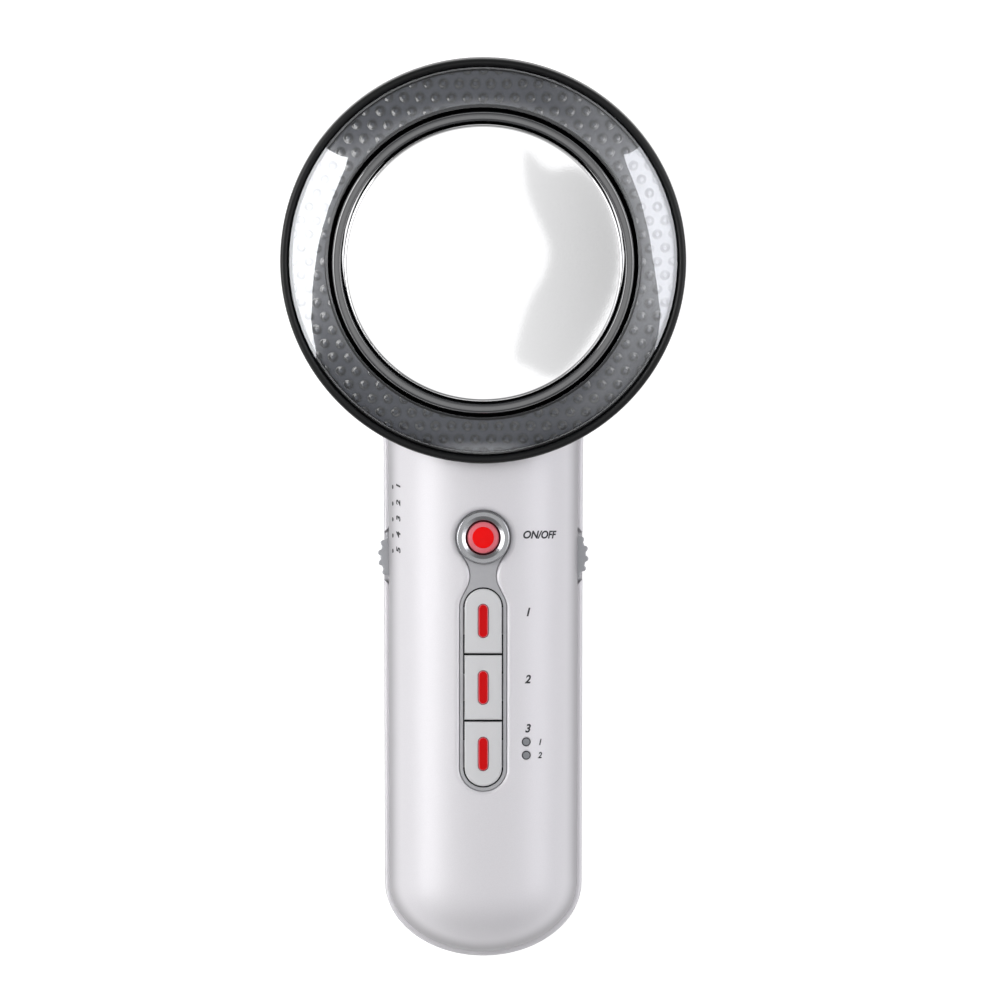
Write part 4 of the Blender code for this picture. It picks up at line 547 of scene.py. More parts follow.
def keyhole(grow=0.0):
    """The panel's outline: round under the power ring, a waist, then a slot round the three keys."""
    half_width, waist = PANEL_HALF_WIDTH + grow, PANEL_NECK_HALF_WIDTH + grow
    head = PANEL_HEAD_RADIUS + grow
    low = KEYS_BOTTOM_Y - SLIDE_GAP - PANEL_BORDER - grow
    shoulder = KEYS_TOP_Y + SLIDE_GAP + PANEL_BORDER - PANEL_HALF_WIDTH
    waist_y = (POWER_Y - PANEL_HEAD_RADIUS + KEYS_TOP_Y) / 2
    head_x, head_y = head * math.sin(NECK_MEETS), POWER_Y - head * math.cos(NECK_MEETS)
    side = [(half_width, shoulder)]
    for i in range(1, NECK_STEPS + 1):
        share = i / NECK_STEPS
        ease = share * share * (3 - 2 * share)
        side.append((half_width + (waist - half_width) * ease, shoulder + (waist_y - shoulder) * share))
    for i in range(1, NECK_STEPS + 1):
        share = i / NECK_STEPS
        side.append((waist + (head_x - waist) * share * share, waist_y + (head_y - waist_y) * share))
    for i in range(1, KEYHOLE_STEPS):
        turn = NECK_MEETS + (math.pi - NECK_MEETS) * i / KEYHOLE_STEPS
        side.append((head * math.sin(turn), POWER_Y - head * math.cos(turn)))
    bottom = arc(0, low + half_width, half_width, math.pi, 2 * math.pi, KEYHOLE_STEPS)[:-1]
    return bottom + side + [(0, POWER_Y + head)] + [(-x, y) for x, y in reversed(side[1:])]


foot = PARTING_Z + PARTING_GAP / 2
below = PARTING_Z - OVERRUN
ceiling = FRONT_Z + OVERRUN
ledge_bottom = SEAT_LEVEL - LEDGE_THICKNESS
front_cover = front_solid("front_cover", 0, foot)
front_hollow = front_solid("front_hollow", WALL, below)
head_hollow = head_side("head_hollow", WALL, below, SEAT_LEVEL + 2 * OVERRUN)


def square_ring(name, inner, outer, low, high):
    """A ring of the head with a four-cornered section."""
    return revolve(name, [(inner, low), (outer, low), (outer, high), (inner, high)], HEAD)


neck_inner, neck_outer = SEAT_RADIUS - NECK_WALL_OVERLAP, RIM_RADIUS + SLIDE_GAP + WALL
kept_in_handle = [square_ring("neck_wall", neck_inner, neck_outer, ledge_bottom + SEAT_GAP, OVERRUN)]
kept_in_handle += pins("boss", CASE_SCREWS[:2], FRONT_BOSS_RADIUS, below - OVERRUN, ceiling)
kept_in_handle += pins("post", BOARD_POSTS, BOARD_POST_RADIUS, BOARD_TOP_Z, ceiling)
boss_top = PARTING_Z + HEAD_BOSS_HEIGHT
kept_in_head = pins("head_boss", CASE_SCREWS[2:], FRONT_BOSS_RADIUS, below - OVERRUN, boss_top)
for i, (x, y) in enumerate(CASE_SCREWS[2:]):
    outward = Vector((x, y - BOWL_Y)).normalized()
    across = Vector((-outward.y, outward.x)) * BOSS_RIB / 2
    start, stop = Vector((x, y)), Vector((x, y)) + outward * (FRONT_BOSS_RADIUS + WALL + OVERRUN)
    rib = [start - across, stop - across, stop + across, start + across]
    kept_in_head.append(prism(f"head_rib_{i}", rib, below - OVERRUN, boss_top))
shape(front_hollow, difference=kept_in_handle)
shape(head_hollow, difference=kept_in_head)
shape(front_cover, union=[head_side("head_outside", 0, foot, SEAT_LEVEL + OVERRUN)])
shape(front_cover, difference=[front_hollow, head_hollow])
ledge_top = SEAT_LEVEL + LEDGE_THICKNESS / 2
ledge = square_ring("rim_ledge", LUG_INNER_RADIUS, SEAT_RADIUS - WALL / 2, ledge_bottom, ledge_top)
shape(ledge, difference=[lobed_bore("ledge_bore", ledge_bottom - OVERRUN, OVERRUN)])
shape(front_cover, union=[ledge])
rim_room = circle(RIM_RADIUS + SLIDE_GAP, steps=HEAD_ROUND_STEPS)
seat_cut = prism("seat_cut", rim_room, SEAT_LEVEL, RIM_HEIGHT, HEAD)
panel_opening = flared(
    "panel_opening", lambda grow: keyhole(PANEL_GAP + grow), PARTING_Z + WALL, 0, OPENING_EDGE, OPENING_FALL
)
openings = [seat_cut, panel_opening]
for i, y in enumerate(INDICATORS_Y):
    hole = flared(
        f"indicator_hole_{i}",
        lambda grow, y=y: circle(INDICATOR_RADIUS + INDICATOR_GAP + grow, INDICATOR_X, y),
        BOARD_TOP_Z,
        0,
        INDICATOR_EDGE,
        INDICATOR_EDGE,
    )
    openings.append(hole)
openings += pins("pilot", CASE_SCREWS, CASE_SCREW_RADIUS, below, SCREW_SEAT_Z + CASE_SCREW_LENGTH)
shape(front_cover, difference=[*openings, *wheel_slots("front_slot")])
dress(front_cover, SILVER, replaces=["front_shell"])

# Rim: a black ring moulded in ABS round the head's face, with rounded edges and an inner flange that
# the window sits on. Three lugs inside it take the screws from the lamp board.
RIM_WIDTH = 1.8 * MM
RIM_EDGE = 0.45 * MM
RIM_CROWN = RIM_WIDTH / 2
RIM_FLANGE_LEVEL = -3.6 * MM
SMALL_SCREW_RADIUS = 0.8 * MM
SMALL_HOLE_STEPS = 24
FACE_RING_STEPS = 256

# Moulded ABS from a lightly polished mould: nearly black, with a soft sheen and the faint waviness
# of a moulding (ripples about 4 mm apart).
POLISHED_BLACK = finish(
    "polished_black_abs",
    ("#08090a", "#0d0e10"),
    4 * MM,
    0.01 * MM,
    {"Roughness": 0.38, "IOR": 1.4},
)

rim_inner = RIM_RADIUS - RIM_WIDTH
rim_profile = [
    (LUG_INNER_RADIUS, -RIM_DEPTH),
    *arc(RIM_RADIUS - RIM_EDGE, -RIM_DEPTH + RIM_EDGE, RIM_EDGE, -math.pi / 2, 0),
    *arc(RIM_RADIUS - RIM_CROWN, -RIM_CROWN, RIM_CROWN, 0, math.pi, steps=20),
    (rim_inner, RIM_FLANGE_LEVEL),
    (LUG_INNER_RADIUS, RIM_FLANGE_LEVEL),
]
rim = revolve("rim", rim_profile, HEAD, FACE_RING_STEPS)


def pilot_holes(name, reach, low):
    """Cutters for the three blind holes that the small screws bite into, from below."""
    top = RIM_FLANGE_LEVEL - 2 * SEAT_GAP
    return pins(name, lug_places(reach), SMALL_SCREW_RADIUS, low, top, HEAD, SMALL_HOLE_STEPS)


rim_pilots = pilot_holes("rim_pilot", LUG_REACH, -RIM_DEPTH - OVERRUN)
shape(rim, difference=[lobed_bore("rim_bore", -RIM_DEPTH - OVERRUN, OVERRUN), *rim_pilots])
dress(rim, POLISHED_BLACK, replaces=["rim_ring"])

# Window: a domed ring of smoked polycarbonate over the infrared lamps, smooth and polished on top.
# It drops into the rim and sits on its flange. Its two upright sides are painted black: painted
# shade for the dark grooves at rim and collar.
WINDOW_OUTER_RADIUS = RIM_RADIUS - RIM_WIDTH - SEAT_GAP
WINDOW_INNER_RADIUS = 35.3 * MM
WINDOW_RISE = 3.7 * MM
WINDOW_EDGE_DROP = 0.5 * MM
WINDOW_SKIN = 0.7 * MM
WINDOW_EDGE = 0.1 * MM
WINDOW_SWEEP = math.radians(76)
WINDOW_STEPS = 40
UPRIGHT_NORMAL = 0.2

# Smoked polycarbonate with the thin mirror coat of sunglasses on both faces: together they show a
# fifth of what stands above, as a clean mirror does, and let the rest of the light through.
HALF_MIRROR = finish(
    "half_mirrored_polycarbonate",
    ("#f2f4f8", "#f6f8fb"),
    6 * MM,
    0.002 * MM,
    {"Metallic": 1.0, "Roughness": 0.02, "Alpha": 0.12},
)

# A matt black coat, painted shade on the walls of the grooves round the window, with a grain of 0.3 mm.
GROOVE_SHADE_BLACK = finish(
    "matt_black_painted_groove_shade", ("#08080a", "#0d0d0f"), 0.3 * MM, 0.004 * MM, {"Roughness": 0.8, "IOR": 1.3}
)


def second_finish(piece, surface, picks, place=None):
    """Gives another finish to the faces that a test picks by middle and normal, as seen from a place."""
    piece.data.materials.append(surface)
    upright = place.inverted() if place else Matrix()
    for face in piece.data.polygons:
        if picks(upright @ face.center, upright.to_3x3() @ face.normal):
            face.material_index = 1


def window_top(radius, under=0.0):
    """Height of the window's domed top at a radius, or of a surface that follows it underneath."""
    share = (WINDOW_OUTER_RADIUS - radius) / (WINDOW_OUTER_RADIUS - WINDOW_INNER_RADIUS)
    rise = math.sin(WINDOW_SWEEP * share) / math.sin(WINDOW_SWEEP)
    return -WINDOW_EDGE_DROP + (WINDOW_RISE + WINDOW_EDGE_DROP) * rise - under


def dome_line(inner, outer, under, steps=WINDOW_STEPS):
    """Profile points of the window's top from one radius to another."""
    radii = [inner + (outer - inner) * i / steps for i in range(steps + 1)]
    return [(radius, window_top(radius, under)) for radius in radii]


edge_centre = WINDOW_INNER_RADIUS + WINDOW_EDGE
inner_edge = window_top(edge_centre)
under_inner, under_outer = WINDOW_INNER_RADIUS + WINDOW_SKIN, WINDOW_OUTER_RADIUS - WINDOW_SKIN
window_foot = RIM_FLANGE_LEVEL + SEAT_GAP
window_profile = [
    (WINDOW_INNER_RADIUS, window_foot),
    *arc(edge_centre, inner_edge - WINDOW_EDGE, WINDOW_EDGE, math.pi, math.pi / 2, steps=5),
    *dome_line(WINDOW_INNER_RADIUS + 2 * WINDOW_EDGE, WINDOW_OUTER_RADIUS, 0),
    (WINDOW_OUTER_RADIUS, window_foot),
    (under_outer, window_foot),
    *reversed(dome_line(under_inner, under_outer, WINDOW_SKIN)),
    (under_inner, window_foot),
]
window = revolve("window_dome", window_profile, HEAD, FACE_RING_STEPS)
dress(window, HALF_MIRROR, replaces=["window_ring"])
# The upright faces are painted matt black: painted shade for the grooves at rim and collar.
second_finish(window, GROOVE_SHADE_BLACK, lambda middle, normal: abs(normal.z) < UPRIGHT_NORMAL, HEAD)

# Honeycomb of the window: the moulding's inner layer, covered with little round lenses that spread
# the lamps' light. They stand 3.6 mm apart in a honeycomb, each a low dome 2.1 mm across.
LENS_PITCH = 3.6 * MM
LENS_RADIUS = 1.05 * MM
LENS_RISE = 0.28 * MM
HONEYCOMB_GAP = 0.42 * MM
HONEYCOMB_MARGIN = 0.1 * MM
HONEYCOMB_RINGS = 58
HONEYCOMB_TURNS = 1536
LENS_SHADE_PLACE = 0.78
LENS_SHADE_WIDTH = 0.36

# Grey pigmented polycarbonate: a fine sparkle of grains about 0.1 mm, drawn at 0.3 mm to show, on a
# satin surface. The foot of each lens is painted nearly black: a painted shade ring round it.
HONEYCOMB_GREY = finish(
    "smoked_polycarbonate_lens_sheet",
    ("#30343d", "#5f626c"),
    0.3 * MM,
    0.004 * MM,
    {"Roughness": 0.2, "IOR": 1.58, "Coat Weight": 1.0, "Coat IOR": 1.7, "Coat Roughness": 0.12},
)
# Painted shade: a ring round each lens's foot is tinted nearly black.
lens_shade_share = node(HONEYCOMB_GREY.node_tree, "ShaderNodeAttribute", {}, attribute_name="painted_lens_shade")
tinted(HONEYCOMB_GREY, lens_shade_share.outputs["Fac"], "#0a0b0d")


def lens_share(x, y):
    """Distance from the nearest lens's middle, as a share of its radius."""
    row_pitch = LENS_PITCH * math.sqrt(3) / 2
    row = round(y / row_pitch)
    distances = []
    for near in (row - 1, row, row + 1):
        shift = LENS_PITCH / 2 * (near % 2)
        column = round((x - shift) / LENS_PITCH)
        distances.append(math.hypot(x - shift - column * LENS_PITCH, y - near * row_pitch))
    return min(distances) / LENS_RADIUS


def sheet_ring(bm, radius, height=None):
    """One ring of points: on the lens sheet's top, or flat at a height."""
    ring = []
    lens_shade_layer = bm.verts.layers.float["painted_lens_shade"]
    base = window_top(radius, WINDOW_SKIN + HONEYCOMB_GAP)
    for x, y in circle(radius, steps=HONEYCOMB_TURNS):
        share = lens_share(x, y)
        level = base + LENS_RISE * max(1 - share * share, 0)
        point = bm.verts.new((x, y, level if height is None else height))
        point[lens_shade_layer] = math.exp(-(((share - LENS_SHADE_PLACE) / LENS_SHADE_WIDTH) ** 2))
        ring.append(point)
    return ring


sheet_inner, sheet_outer = under_inner + HONEYCOMB_MARGIN, under_outer - HONEYCOMB_MARGIN
sheet = bmesh.new()
sheet.verts.layers.float.new("painted_lens_shade")
rings = [sheet_ring(sheet, sheet_inner, window_foot)]
for i in range(HONEYCOMB_RINGS + 1):
    rings.append(sheet_ring(sheet, sheet_inner + (sheet_outer - sheet_inner) * i / HONEYCOMB_RINGS))
rings.append(sheet_ring(sheet, sheet_outer, window_foot))
for low, high in zip(rings, [*rings[1:], rings[0]]):
    bridge(sheet, low, high)
sheet.transform(HEAD)
honeycomb = piece_from("window_honeycomb", sheet)
dress(honeycomb, HONEYCOMB_GREY, replaces=["window_ring"])

# Collar: a dark ring with rounded shoulders between window and probe, moulded in ABS, with a flange
# under the window's edge and three posts for the retainer's screws.
COLLAR_INNER_RADIUS = 32.2 * MM
COLLAR_OUTER_RADIUS = 34.4 * MM
COLLAR_RISE = 4.6 * MM
COLLAR_CORNER = 0.7 * MM
COLLAR_FLANGE_RADIUS = 36.9 * MM
COLLAR_BOTTOM = RIM_FLANGE_LEVEL - 2 * MM
COLLAR_POST_REACH = 35.2 * MM
COLLAR_POST_RADIUS = 1.6 * MM
PROBE_BOTTOM = COLLAR_BOTTOM - 2.2 * MM

# The same black ABS under a clear varnish, which turns it into a dark mirror: grey where it shows the
# ceiling, with a bright streak toward each lamp.
VARNISHED_BLACK = finish(
    "varnished_black_abs",
    ("#26272a", "#303135"),
    4 * MM,
    0.004 * MM,
    {"Roughness": 0.2, "Coat Weight": 1.0, "Coat IOR": 2.0, "Coat Roughness": 0.06},
)

shoulder = COLLAR_RISE - COLLAR_CORNER
collar_profile = [
    (COLLAR_INNER_RADIUS, COLLAR_BOTTOM),
    *arc(COLLAR_INNER_RADIUS + COLLAR_CORNER, shoulder, COLLAR_CORNER, math.pi, math.pi / 2, steps=14),
    *arc(COLLAR_OUTER_RADIUS - COLLAR_CORNER, shoulder, COLLAR_CORNER, math.pi / 2, 0, steps=14),
    (COLLAR_OUTER_RADIUS, RIM_FLANGE_LEVEL),
    (COLLAR_FLANGE_RADIUS, RIM_FLANGE_LEVEL),
    (COLLAR_FLANGE_RADIUS, COLLAR_BOTTOM),
]
collar = revolve("collar", collar_profile, HEAD, FACE_RING_STEPS)
post_places = lug_places(COLLAR_POST_REACH)
posts = pins("collar_post", post_places, COLLAR_POST_RADIUS, PROBE_BOTTOM, COLLAR_BOTTOM + MM, HEAD)
post_pilots = pilot_holes("collar_pilot", COLLAR_POST_REACH, PROBE_BOTTOM - OVERRUN)
shape(shape(collar, union=posts), difference=post_pilots)
dress(collar, VARNISHED_BLACK, replaces=["probe_collar"])
# The collar under its shoulders is painted matt black: painted shade for the groove at the window.
second_finish(collar, GROOVE_SHADE_BLACK, lambda middle, normal: middle.z < shoulder, HEAD)

# Probe: the treatment disc, a shallow cup drawn from stainless sheet and buffed to a mirror. Its
# rounded edge stands just proud of the collar, and its flange is clamped underneath.
PROBE_RADIUS = 31.7 * MM
PROBE_RISE = 5.2 * MM
PROBE_EDGE = 0.7 * MM
PROBE_FLAT_MARGIN = 0.05 * MM
PROBE_SKIRT = 1.2 * MM
PROBE_PLATE_THICKNESS = 1.5 * MM
PROBE_FLANGE_RADIUS = 33 * MM
PROBE_FLANGE_TOP = PROBE_BOTTOM + 1.2 * MM

# Mirror-buffed stainless steel: a clean, slightly warm-grey mirror, with circular buffing so fine
# (0.05 mm, drawn at 0.4 mm) that it only softens reflections.
MIRROR_STEEL = finish(
    "mirror_buffed_stainless_steel",
    ("#e9e9ea", "#f0f0f1"),
    0.4 * MM,
    0.0001 * MM,
    {"Metallic": 1.0, "Roughness": 0.015},
)

probe_under = PROBE_RISE - PROBE_PLATE_THICKNESS
probe_profile = [
    (0, PROBE_RISE),
    (PROBE_RADIUS - PROBE_EDGE - PROBE_FLAT_MARGIN, PROBE_RISE),
    *arc(PROBE_RADIUS - PROBE_EDGE, PROBE_RISE - PROBE_EDGE, PROBE_EDGE, math.pi / 2, 0, steps=16),
    (PROBE_RADIUS, PROBE_FLANGE_TOP),
    (PROBE_FLANGE_RADIUS, PROBE_FLANGE_TOP),
    (PROBE_FLANGE_RADIUS, PROBE_BOTTOM),
    (PROBE_RADIUS - PROBE_SKIRT, PROBE_BOTTOM),
    (PROBE_RADIUS - PROBE_SKIRT, probe_under),
    (0, probe_under),
]
probe = revolve("treatment_disc", probe_profile, HEAD, FACE_RING_STEPS)
dress(probe, MIRROR_STEEL, replaces=["probe_plate"])

# Control panel: a keyhole-shaped trim moulded in ABS and painted grey. It frames the power ring and
# the three keys, lies 0.6 mm under the cover's surface, and is held by a flange from behind.
RING_CREST = 0.9 * MM
RING_EDGE = 0.3 * MM
RING_LAND_RADIUS = 4.95 * MM
RING_LIP = 0.45 * MM
RING_SINK = 1.2 * MM
RING_BORE_RADIUS = 4 * MM
RING_FUNNEL = math.radians(118)
KEY_LENGTH = 14.7 * MM
KEY_SPACING = 0.45 * MM
PANEL_EDGE = 0.12 * MM
PANEL_FLANGE = 1.4 * MM
PANEL_FLANGE_TOP = 36.25 * MM
PANEL_BOTTOM = 35.15 * MM
KEY_FLANGE_TOP = PANEL_BOTTOM - SLIDE_GAP
KEY_BOTTOM = KEY_FLANGE_TOP - MM
KEY_POST_END = KEY_BOTTOM - 1.3 * MM
SLOT_STEPS = 20

# Satin grey paint on ABS: an even mid grey with hardly any sheen; the paint's orange peel is about
# 1 mm across.
PANEL_GREY = finish(
    "sprayed_grey_paint_on_abs",
    ("#acacb0", "#b4b4b7"),
    1 * MM,
    0.003 * MM,
    {"Roughness": 0.4, "Metallic": 0.2},
)


def slot(half_width, low, high, round_low=True, round_high=True):
    """A slot's outline in XY, with round or square ends, with as many points either way."""
    points = []
    for centre, start, rounded in ((low, math.pi, round_low), (high, 0, round_high)):
        sign = 1 if start else -1
        if rounded:
            points += arc(0, centre + sign * half_width, half_width, start, start + math.pi, SLOT_STEPS)
        else:
            corner = -sign * half_width
            for i in range(SLOT_STEPS + 1):
                points.append((corner + 2 * sign * half_width * i / SLOT_STEPS, centre))
    return points


def key_aperture(grow=0.0):
    """The panel's opening for the keys."""
    wide = KEY_HALF_WIDTH + SLIDE_GAP + grow
    return slot(wide, KEYS_BOTTOM_Y - SLIDE_GAP - grow, KEYS_TOP_Y + SLIDE_GAP + grow)


panel_foot = PANEL_FLANGE_TOP - SEAT_GAP
panel = crowned("panel", keyhole, panel_foot, PANEL_SINK, PANEL_EDGE, PANEL_NECK_HALF_WIDTH)
panel_flange = prism("panel_flange", keyhole(PANEL_FLANGE), PANEL_BOTTOM, PANEL_FLANGE_TOP)
ring_seat = circle(POWER_RING_RADIUS + SEAT_GAP / 2, 0, POWER_Y, FINE_ROUND_STEPS)
button_hole = circle(RING_BORE_RADIUS, 0, POWER_Y, FINE_ROUND_STEPS)
under_panel = PANEL_BOTTOM - OVERRUN
shape(
    panel,
    union=[panel_flange],
    difference=[
        prism("ring_seat", ring_seat, FRONT_Z - RING_SINK - SEAT_GAP, ceiling),
        prism("button_hole", button_hole, under_panel, ceiling),
        flared("key_aperture", key_aperture, under_panel, PANEL_SINK, PANEL_EDGE, PANEL_EDGE),
    ],
)
dress(panel, PANEL_GREY, replaces=["key_panel"])

# Power ring: a ring of chromed ABS pressed into the panel, with a flat land and a funnel that leads
# down to the button.
POWER = Matrix.Translation((0, POWER_Y, FRONT_Z))
BUTTON_ROUND_STEPS = 128

# Satin chrome on ABS: a bright, slightly blurred mirror. Bare metal has no tint.
SATIN_CHROME = finish(
    "satin_chrome_plated_abs",
    ("#b4b5b8", "#c0c1c4"),
    0.5 * MM,
    0.001 * MM,
    {"Metallic": 1.0, "Roughness": 0.22},
)

crest, lip_edge = RING_CREST - RING_EDGE, RING_EDGE / 2
ring_profile = [
    (RING_BORE_RADIUS, -RING_SINK),
    (POWER_RING_RADIUS, -RING_SINK),
    *arc(POWER_RING_RADIUS - RING_EDGE, crest, RING_EDGE, 0, math.pi / 2, steps=8),
    *arc(RING_LAND_RADIUS, crest, RING_EDGE, math.pi / 2, RING_FUNNEL, steps=6),
    *arc(RING_BORE_RADIUS + lip_edge, RING_LIP - lip_edge, lip_edge, RING_FUNNEL, math.pi, steps=6),
]
ring = revolve("chrome_ring", ring_profile, POWER, BUTTON_ROUND_STEPS)
dress(ring, SATIN_CHROME, replaces=["power_ring"])

# Power button: a domed cap of clear red acrylic with a raised middle. A flange keeps it behind the
# panel, and its post meets the switch on the board.
BUTTON_RADIUS = 3.6 * MM
BUTTON_FLANGE_RADIUS = 4.5 * MM
BUTTON_SIDE = 0.1 * MM
BUTTON_DOME = 0.9 * MM
BUTTON_LENS_RADIUS = 2.45 * MM
BUTTON_STEP = 0.16 * MM
SHOULDER_STEPS = 12
LENS_STEPS = 16
KEY_POST_RADIUS = 1.5 * MM

# Polished red acrylic: a saturated red with a thin gloss.
RED_ACRYLIC = finish(
    "polished_red_acrylic",
    ("#ee0306", "#f80408"),
    3 * MM,
    0.002 * MM,
    {"Roughness": 0.14, "IOR": 1.35, "Specular IOR Level": 0.3},
)

# The same acrylic, left matt and painted pink on the sloping rims of the button and the bars: a
# painted sheen for the paler edge that reflections give there.
RED_RIM_SHEEN = finish(
    "red_acrylic_with_painted_rim_sheen", ("#dc6470", "#e67a84"), 0.3 * MM, 0.003 * MM, {"Roughness": 0.45, "IOR": 1.45}
)

button_profile = [
    (0, KEY_POST_END - FRONT_Z),
    (KEY_POST_RADIUS, KEY_POST_END - FRONT_Z),
    (KEY_POST_RADIUS, KEY_BOTTOM - FRONT_Z),
    (BUTTON_FLANGE_RADIUS, KEY_BOTTOM - FRONT_Z),
    (BUTTON_FLANGE_RADIUS, KEY_FLANGE_TOP - FRONT_Z),
    (BUTTON_RADIUS, KEY_FLANGE_TOP - FRONT_Z),
]
lens_turn = math.acos(BUTTON_LENS_RADIUS / BUTTON_RADIUS)
for x, y in arc(0, 0, 1, 0, lens_turn, SHOULDER_STEPS):
    button_profile.append((BUTTON_RADIUS * x, BUTTON_SIDE - BUTTON_STEP + BUTTON_DOME * y))
for x, y in arc(0, 0, 1, lens_turn, math.pi / 2, LENS_STEPS)[:-1]:
    button_profile.append(((BUTTON_RADIUS - BUTTON_STEP / 2) * x, BUTTON_SIDE + BUTTON_DOME * y))
button_profile.append((0, BUTTON_SIDE + BUTTON_DOME))
button = revolve("power_cap_red", button_profile, POWER, BUTTON_ROUND_STEPS)
dress(button, RED_ACRYLIC, "power_cap", ["power_button"])
# The shoulder round the raised middle is painted pink: a painted sheen.
second_finish(
    button, RED_RIM_SHEEN, lambda middle, normal: math.hypot(middle.x, middle.y) > BUTTON_LENS_RADIUS, POWER
)

# Mode keys: three keys of pearl-grey ABS that fill one slot, the outer ends round. Each has a flange
# behind the panel, a post over its switch, and a slot for its light bar.
KEY_SINK = 0.25 * MM
KEY_EDGE = 0.4 * MM
KEY_FLANGE = 1.2 * MM
BAR_HALF_WIDTH = 1.1 * MM
BAR_LENGTH = 7.6 * MM
BAR_GAP = 0.12 * MM
BAR_EDGE = 0.35 * MM
KEY_COUNT = 3
HAIRLINE = 0.01 * MM
BAR_TOP_NORMAL = 0.9

# Red acrylic of the bars: deeper than the button's, because no raised middle gathers light.
BAR_RED = finish(
    "moulded_red_acrylic",
    ("#c60409", "#d1050b"),
    2 * MM,
    0.002 * MM,
    {"Roughness": 0.2, "IOR": 1.35, "Specular IOR Level": 0.25},
)

# Moulded pearl-grey ABS: pale, satin, with the fine spark-erosion grain of the mould, about 0.15 mm.
KEY_GREY = finish(
    "moulded_pearl_grey_abs", ("#cdcdcf", "#d5d5d7"), 0.15 * MM, 0.004 * MM, {"Roughness": 0.38, "IOR": 1.54}
)


def rectangle(half_x, half_y, y=0.0):
    """A rectangle's corners about (0, y)."""
    return [(-half_x, y - half_y), (half_x, y - half_y), (half_x, y + half_y), (-half_x, y + half_y)]


for index in range(KEY_COUNT):
    key_high = KEYS_TOP_Y - index * (KEY_LENGTH + KEY_SPACING)
    key_low = key_high - KEY_LENGTH
    middle = (key_low + key_high) / 2
    number, body = index + 1, f"key_{index + 1}"

    def key_outline(grow, low=key_low, high=key_high, first=index == 0, last=index == KEY_COUNT - 1):
        return slot(KEY_HALF_WIDTH + grow, low - grow, high + grow, last, first)

    def bar_outline(grow, middle=middle):
        half = BAR_LENGTH / 2 + grow
        return slot(BAR_HALF_WIDTH + grow, middle - half, middle + half)

    def bar_room(grow):
        return bar_outline(BAR_GAP + grow)

    closing = KEY_HALF_WIDTH - HAIRLINE
    key = crowned(f"pearl_key_{number}", key_outline, KEY_BOTTOM, KEY_SINK, KEY_EDGE, closing)
    flange = rectangle(KEY_HALF_WIDTH + KEY_FLANGE, KEY_LENGTH / 2 - KEY_HALF_WIDTH, middle)
    post = circle(KEY_POST_RADIUS, 0, middle - BAR_LENGTH / 2 - KEY_POST_RADIUS - 2 * BAR_GAP)
    bar_slot = flared(f"bar_slot_{number}", bar_room, KEY_BOTTOM - OVERRUN, KEY_SINK, BAR_GAP, BAR_GAP)
    shape(
        key,
        union=[
            prism(f"key_flange_{number}", flange, KEY_BOTTOM, KEY_FLANGE_TOP),
            prism(f"key_post_{number}", post, KEY_POST_END, KEY_BOTTOM + MM / 2),
        ],
        difference=[bar_slot],
    )
    dress(key, KEY_GREY, body, [f"mode_key_{number}"])
    bar = crowned(f"red_bar_{number}", bar_outline, KEY_BOTTOM, 0, BAR_EDGE, BAR_HALF_WIDTH - HAIRLINE)
    dress(bar, BAR_RED, body, [f"key_light_bar_{number}"])
    # The bar's sloping sides are painted pink: a painted sheen.
    second_finish(bar, RED_RIM_SHEEN, lambda middle, normal: normal.z < BAR_TOP_NORMAL)

# Indicators: two clear light pipes that carry lamps from the board up to the cover's surface.

# Clear acrylic seen over a dark well: grey, with a hard gloss.
PIPE_CLEAR = finish(
    "moulded_clear_acrylic", ("#7e8084", "#8c8e92"), 1 * MM, 0.002 * MM, {"Roughness": 0.08, "IOR": 1.49}
)

for number, y in enumerate(INDICATORS_Y, 1):
    pipe = crowned(
        f"light_pipe_{number}",
        lambda grow, y=y: circle(INDICATOR_RADIUS + grow, INDICATOR_X, y, 40),
        BOARD_TOP_Z,
        INDICATOR_GAP,
        INDICATOR_EDGE,
        INDICATOR_RADIUS - HAIRLINE,
    )
    dress(pipe, PIPE_CLEAR, replaces=[f"indicator_pipe_{number}"])

# Printed marks: pad-printed on the lacquer in dark ink, 0.03 mm thick. They are plain: the switch's
# two states, a number for each key and lamp, and a scale of five for the wheel.
INK_THICKNESS = 0.03 * MM
INK_ROOT = 0.02 * MM
INK_STRIP = 0.3 * MM
LABEL_SLANT = 0.25
CAPITAL_SHARE = 0.73
STROKE_GROWTH = 0.045
FRONT_LINE_STEPS = 600

# Each mark's words, with its height, its place across the front and its place along it, in mm.
MARKS = [
    ("ON/OFF", 1.75, 8.95, -7.0),
    ("1", 1.9, 9.6, -24.7),
    ("2", 1.9, 9.6, -40.0),
    ("3", 1.9, 9.6, -51.2),
    ("1", 1.4, 12.9, -54.1),
    ("2", 1.4, 12.9, -57.1),
]
SCALE_PLACES = [4.7, 0.9, -2.7, -6.4, -9.9]
SCALE_DOT_RADIUS = 0.5
SCALE_DOTS_ACROSS = -25.8
SCALE_NUMBERS_ACROSS = -21.8
SCALE_NUMBER_HEIGHT = 1.9
SCALE_NUMBER_SHIFT = 0.6

# Pad-printing ink: nearly black and matt, a little uneven at about 0.4 mm.
INK = finish("pad_printed_black_ink", ("#26262a", "#323236"), 0.4 * MM, 0.001 * MM, {"Roughness": 0.6})

front_line = []
length = 0.0
front_half_width = HANDLE_HALF_WIDTH - FRONT_INSET
power = 2 / FRONT_SQUARENESS
for i in range(FRONT_LINE_STEPS + 1):
    turn = math.pi / 2 * (1 - i / FRONT_LINE_STEPS)
    height = PARTING_Z + FRONT_RISE * math.sin(turn) ** power
    point = Vector((front_half_width * math.cos(turn) ** power, height))
    length += (point - front_line[-1][1]).length if front_line else 0
    front_line.append((length, point))


